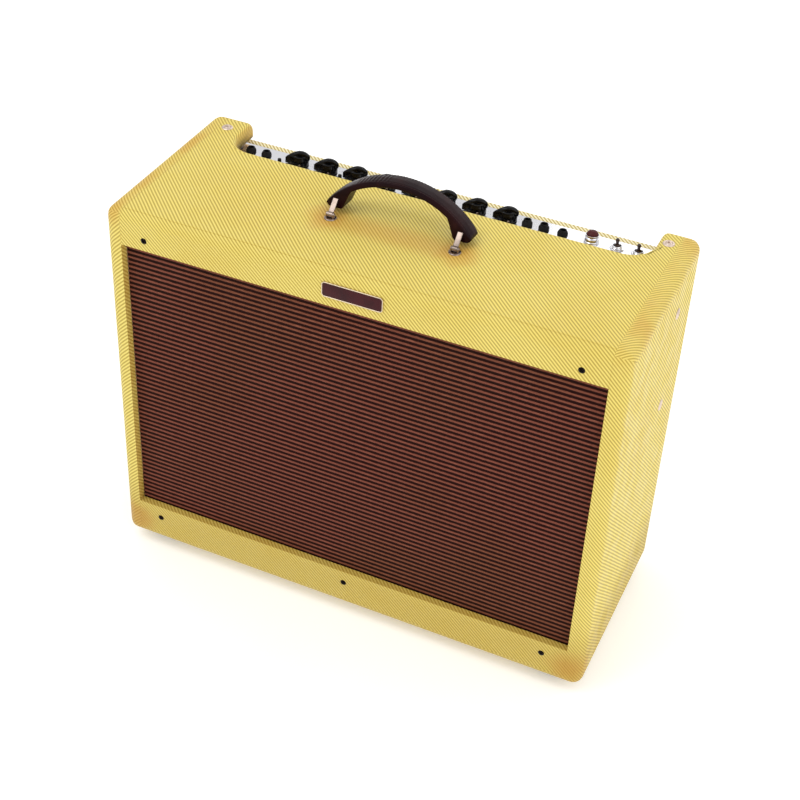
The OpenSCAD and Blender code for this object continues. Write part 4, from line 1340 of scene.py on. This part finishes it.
def tubes():
    sockets, glass, shields, power = Shape(), Shape(), Shape(), Shape()
    for middle in middles("preamp_tubes"):
        place = under(middle.x, -12)
        foot = [(0, 0), (10.8, 0), (11, 0.3), (11, 1.4), (9.6, 1.8), (9.6, 5.6), (9.3, 6), (0, 6)]
        sockets.revolve(foot, place)
        outer = [(0, 6.1), (9.6, 6.1), (10.2, 7), (10.3, 10), (10.3, 40), (9.6, 44.5), (7.4, 48.2)]
        glass.revolve(outer + [(4.2, 50.5), (2, 52), (1.1, 53.4), (0, 54)], place)
        for turn in range(4):
            spot = place @ spun(90 * turn)
            glass.box((-3.4, 1.2, 12), (3.4, 3.6, 38), 0.8, 0.3, spot, 1)
        wall = [(11.5, 0), (12.4, 0), (12.4, 7), (12.9, 8), (12.4, 9), (12.4, 41), (12.9, 42), (12.4, 43)]
        wall += [(12.4, 49.2), (11.8, 50.3), (10.6, 51), (6.4, 51), (6, 50.7), (6, 50.2), (10.4, 50)]
        wall.append((11.5, 49))
        shields.revolve(wall, place, 0, 56)
    for middle in middles("power_tubes"):
        place = under(middle.x, -12)
        foot = [(0, 0), (14.7, 0), (15, 0.3), (15, 2), (13.4, 2.5), (13.4, 5.6), (13, 6), (0, 6)]
        sockets.revolve(foot, place)
        base = [(0, 6.1), (15.6, 6.1), (16, 6.6), (16, 9), (15.6, 9.6), (15.6, 22.5), (16, 23.5), (16, 25.6)]
        power.revolve(base + [(15.6, 26), (0, 26)], place, 0, 56)
        skin = [(14.6, 26.05), (15.2, 26.1), (16.4, 27.5), (17.3, 30), (17.5, 36), (17.5, 70), (17, 76)]
        skin += [(15, 81.5), (11.4, 86), (6.5, 89.2), (3, 90.4), (1.4, 91), (0, 91)]
        bore = [(0, 90.2), (2.2, 89.7), (6.2, 88.3), (10.8, 85.2), (14.2, 81), (16.2, 75.7), (16.7, 70)]
        bore += [(16.7, 36), (16.5, 30.4), (15.6, 28), (14.6, 26.9)]
        power.revolve(skin + bore, place, 1, 56)
        mirror = [(0, 88.3), (5.4, 86.9), (10, 84), (13.2, 80.1), (15.2, 75.2), (15.5, 75.2), (15.4, 75.6)]
        power.revolve(mirror + [(13.5, 80.5), (10.2, 84.6), (5.6, 87.5), (0, 88.9)], place, 3)
        for side in (0, 180):
            spot = place @ spun(side)
            power.box((-10.5, -1.2, 36), (10.5, 4.6, 66), 2.2, 0.5, spot, 2)
            power.box((-11.8, -0.5, 42), (-10, 0.5, 60), 0.4, 0.2, spot, 2)
        for z in (33, 69):
            power.revolve([(0, z), (15.2, z), (15.4, z + 0.3), (15.2, z + 0.6), (0, z + 0.6)], place, 4, 40)
    sockets.build("tube_sockets_fine", "tube_sockets", "black_plastic", CERAMIC)
    glass.build("preamp_tubes_fine", "preamp_tubes", "tube_glass", GLASS, PLATE_GREY)
    shields.build("tube_shields_fine", "tube_shields", "steel", SHIELD)
    power.build("power_tubes_fine", "power_tubes", "tube_glass", SATIN, GLASS, PLATE_GREY, GETTER, CERAMIC)


def mains_inlet():
    middle = middles("mains_inlet")[0]
    shape = Shape(under(middle.x, -16))
    levels = [(19.8, 27.8, 3, -16), (19.8, 27.8, 3, 0), (22, 44.6, 5, 0), (22, 44.6, 5, 2.3)]
    levels += [(21, 43.6, 4.6, 3), (17.4, 25.4, 2.6, 3), (16.6, 24.6, 2.2, 2.6), (16.6, 24.6, 2.2, -14)]
    rings = []
    for width, length, radius, z in levels:
        rings.append([(x, y, z) for x, y in box_outline(width, length, radius)])
    shape.loft(rings)
    for x, y in ((-2, -7), (2, 0), (-2, 7)):
        shape.box((x - 1, y - 2, -14.5), (x + 1, y + 2, -4), 0.4, 0.3, None, 1)
    for y in (-18, 18):
        screw(shape, at(0, y, 2.9) @ spun(y * 9), 3, 1.1, 1.4, 7, 1)
    shape.build("mains_inlet_fine", "mains_inlet", "black_plastic", SATIN, NICKEL)


def fuse():
    middle = middles("fuse_holder")[0]
    shape = Shape(under(middle.x, 4))
    profile = [(0, -28), (5, -28), (5.5, -27.5), (5.5, 0), (7, 0), (7, 1.6), (6.6, 2.2), (0, 2.2)]
    shape.revolve(profile)

    def grip(size):
        return lambda t: size + 0.18 * cos(18 * t)

    levels = ((6, 2.2), (grip(6.1), 2.6), (grip(6.0), 7.6), (5.5, 8.6), (4.8, 9), (2.2, 9), (1.9, 8.4))
    shape.loft([ring(radius, z, 72) for radius, z in levels])
    shape.build("fuse_holder_fine", "fuse_holder", "black_plastic", SATIN)


transformer("power_transformer", 84, 62, 76)
transformer("output_transformer", 52, 46, 48)
tubes()
mains_inlet()
fuse()
finish_cad("reverb_tank", STEEL, width=1.2, segments=3)

# --- loudspeaker

finish_cad("speaker_frame", FRAME_PAINT, width=0.7, segments=3)
finish_cad("speaker_surround", DOPED, width=0.2)
finish_cad("dust_cap", PULP, width=0.2)
finish_cad("voice_coil", COPPER, width=0.1)
finish_cad("speaker_spider", SPIDER, width=0.15)
finish_cad("speaker_bolts", STEEL, width=0.3)


def speaker_place():
    """Local Z back along the loudspeaker's axis, from the back of its board."""
    low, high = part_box("speaker_magnet")
    middle = (low + high) / 2
    half = 17.5
    return facing(middle + FRONT_OUT * half * MM, -FRONT_OUT) @ at(0, 0, -MAGNET_FRONT)


MAGNET_FRONT = 70.0


def magnet():
    shape = Shape(speaker_place())
    f = MAGNET_FRONT
    plate = [(26.2, 0), (61, 0), (62, 0.8), (62, 6), (26.2, 6)]
    block = [(34, 6.05), (66.8, 6.05), (68, 7.2), (68, 24.8), (66.8, 25.95), (34, 25.95)]
    yoke = [(8, 0), (22.8, 0), (23.8, 1), (23.8, 26), (59, 26), (60, 27), (60, 30.6), (58.6, 32)]
    yoke += [(10, 32), (8, 30.5)]
    for profile, slot, steps in ((plate, 1, 72), (block, 0, 96), (yoke, 1, 96)):
        shape.revolve([(r, f + z) for r, z in profile], None, slot, steps)
    shape.build("speaker_magnet_fine", "speaker_magnet", "magnet_steel", FERRITE, STEEL)


def cone():
    """Paper cone with pressed rings, thin all the way."""
    front, back = [], []
    steps = 90
    line = [(124.6, 0.9), (122.6, 1.5), (80, 27.5), (40, 46.5), (25.6, 55.5)]
    radii = [p[0] for p in line]
    for k in range(steps + 1):
        r = lerp(124.6, 25.6, k / steps)
        z = float(np.interp(-r, [-a for a in radii], [p[1] for p in line]))
        ribs = 0.45 * sin(r * 2 * pi / 6.5) if 60 < r < 118 else 0.0
        front.append((r, z - 0.4 + ribs))
        back.append((r, z + 0.4 + ribs))
    shape = Shape(speaker_place())
    shape.revolve(front + back[::-1], None, 0, 120)
    shape.build("speaker_cone_ribbed", "speaker_cone", "cone_paper", PULP, body="cone", angle=60)


magnet()
cone()

# --- handle

handle_pivot = Vector(JOINTS["handle_tilt"]["pos_m"])
ARCH_R = 107.36
ARCH_Z = 52.5 - ARCH_R
STRAP_T = 7.6
# Distances from the middle and the underside's height there
STRAP_ENDS = ([54.5, 56, 58, 64, 66, 81, 83, 84], [29.5, 27.4, 23.2, 7.2, 5.2, 5.2, 6.6, 8.2])
STRAP_PLACE = at(0, -1.4, TOP / MM) @ spun(-5, "X")


def strap_lines(x):
    """Underside and top of the strap at a distance from its middle, without its ridges."""
    a = abs(x)
    top = ARCH_Z + sqrt(ARCH_R**2 - min(a, 83.0) ** 2)
    if a > 83:
        top = lerp(top, 11, a - 83)
    arch = ARCH_Z + sqrt((ARCH_R - STRAP_T) ** 2 - min(a, 60) ** 2)
    ends = float(np.interp(a, *STRAP_ENDS))
    return (min(arch, ends) if a > 54 else arch), top


def strap():
    shape = Shape(STRAP_PLACE)
    stations = list(np.linspace(-84, -80, 7)) + list(np.linspace(-79, -54, 20))
    stations += list(np.linspace(-53, -12, 110)) + list(np.linspace(-10, 54, 40))
    stations += list(np.linspace(55, 79, 20)) + list(np.linspace(80, 84, 7))
    rings = []
    for x in stations:
        under_z, top = strap_lines(x)
        ridge_share = smooth(-53, -49, x) * (1 - smooth(-17, -13, x))
        ridge = 0.55 * ridge_share * (0.5 - 0.5 * cos((x + 53) * 2 * pi / 4.4)) ** 0.7
        end = smooth(78, 84, abs(x))
        half = 12 - 1.6 * end
        crown = 1.5 * (1 - 0.4 * end)
        lift = top - 0.3
        shoulder = lift - crown * 0.42 + ridge * 0.8
        outline = [(-half, under_z, 1.4), (half, under_z, 1.4), (half, lift - crown, 2.2)]
        outline += [(half * 0.62, shoulder, 6), (0, lift + ridge, 20), (-half * 0.62, shoulder, 6)]
        outline += [(-half, lift - crown, 2.2)]
        rings.append([(x, y, z) for y, z in fillet(outline, 5)])
    shape.loft(rings)
    for side in (-1, 1):
        run = -76.0
        while run < 76:
            a, b = run, run + 2.6
            path = []
            for k in range(5):
                x = lerp(a, b, k / 4)
                _, top = strap_lines(x)
                bow = 0.22 * sin(pi * k / 4)
                path.append((x, side * 10.1, top - 1.62 + bow))
            shape.tube(path, 0.32, 1, 6)
            run += 3.5
    shape.build("strap_stitched", "handle_strap", "strap", LEATHER, THREAD, body="handle", angle=55)


def loops():
    shape = Shape()
    for side in (-1, 1):
        hub = at(side * 72.5, handle_pivot.y / MM, handle_pivot.z / MM)
        strip = hub @ spun(-48, "X")
        outline = fillet([(-3, 1.6, 0.5), (3, 1.6, 0.5), (3, 22, 2.2), (-3, 22, 2.2)], 5)
        upright = strip @ spun(90, "X")
        shape.slab(outline, -0.9, 0.9, 0.3, upright)
        eye = [(1.55, -3.1), (2.7, -3.1), (2.9, -2.9), (2.9, 2.9), (2.7, 3.1), (1.55, 3.1)]
        shape.revolve(eye, hub @ spun(90, "Y"), 0, 36)
    shape.build("handle_loops_fine", "handle_loops", "nickel", NICKEL, body="handle")


def posts():
    shape = Shape()
    rise = handle_pivot.z / MM - TOP / MM
    for side in (-1, 1):
        foot = at(side * 72.5, handle_pivot.y / MM, TOP / MM)
        shape.revolve([(0, 0), (6.8, 0), (7, 0.2), (6.9, 0.7), (6.5, 1.15), (6, 1.3), (0, 1.3)], foot)
        for x in (-3.9, 3.9):
            top = rise + 1.2
            outline = [(-2.6, 0.6, 0), (2.6, 0.6, 0), (2.6, top, 2.4), (0, rise + 2.7, 2.0), (-2.6, top, 2.4)]
            upright = foot @ at(x, 0, 0) @ Matrix(((0, 0, 1, 0), (1, 0, 0, 0), (0, 1, 0, 0), (0, 0, 0, 1)))
            shape.slab(fillet(outline, 4), -0.7, 0.7, 0.2, upright)
        pin = [(0, -5.4), (0.9, -5.3), (1.4, -4.9), (1.5, -4.6), (1.5, 4.6), (1.4, 4.9), (0.9, 5.3), (0, 5.4)]
        shape.revolve(pin, foot @ at(0, 0, rise) @ spun(90, "Y"), 0, 28)
    shape.build("handle_posts_fine", "handle_posts", "nickel", NICKEL)


strap()
loops()
posts()

# --- camera, light, floor


def camera():
    """Camera fitted to the photographed view, with its slight roll."""
    spot, target, roll, focal = (0.5582, -1.3051, 1.3551), (0.007, 0.0026, 0.2367), 2.729, 69.8
    data = bpy.data.cameras.new("camera")
    data.lens = focal
    data.sensor_width = 36
    data.clip_start, data.clip_end = 0.05, 50
    view = add_object("camera", data)
    back = (Vector(spot) - Vector(target)).normalized()
    turn = back.to_track_quat("Z", "Y").to_matrix().to_4x4()
    view.matrix_world = Matrix.Translation(Vector(spot)) @ turn @ spun(roll)
    bpy.context.scene.camera = view


LAMP_TARGET = Vector((0, 0, 0.3))


def lamp(name, spot, size, watts):
    data = bpy.data.lights.new(name, "AREA")
    data.shape = "SQUARE"
    data.size = size
    data.energy = watts
    light = add_object(name, data)
    light.location = spot
    light.rotation_euler = (Vector(spot) - LAMP_TARGET).to_track_quat("Z", "Y").to_euler()


def studio():
    p = Paint("floor")
    p.finish(
        p.mix(p.range(p.noise(3, 2), 0.3, 0.7), (0.93, 0.93, 0.93, 1), (0.95, 0.95, 0.95, 1)),
        0.8,
        Emission_Color=(1, 1, 1, 1),
        Emission_Strength=0.25,
    )
    mesh = bpy.data.meshes.new("floor")
    reach = 30
    corners = [(-reach, -reach, 0), (reach, -reach, 0), (reach, reach, 0), (-reach, reach, 0)]
    mesh.from_pydata(corners, [], [(0, 1, 2, 3)])
    mesh.materials.append(p.material)
    floor = add_object("floor", mesh)
    world = bpy.data.worlds.new("studio")
    world.use_nodes = True
    sky = world.node_tree.nodes["Background"].inputs
    sky["Color"].default_value = (1, 1, 1, 1)
    sky["Strength"].default_value = 0.84
    bpy.context.scene.world = world
    bpy.context.scene.view_settings.view_transform = "Standard"
    lamp("key", (-1.1, -1.1, 2.8), 1.6, 19)
    lamp("fill", (2.0, -0.7, 1.5), 2.0, 10)
    lamp("back", (0.4, 2.2, 1.8), 2.0, 9)


camera()
studio()
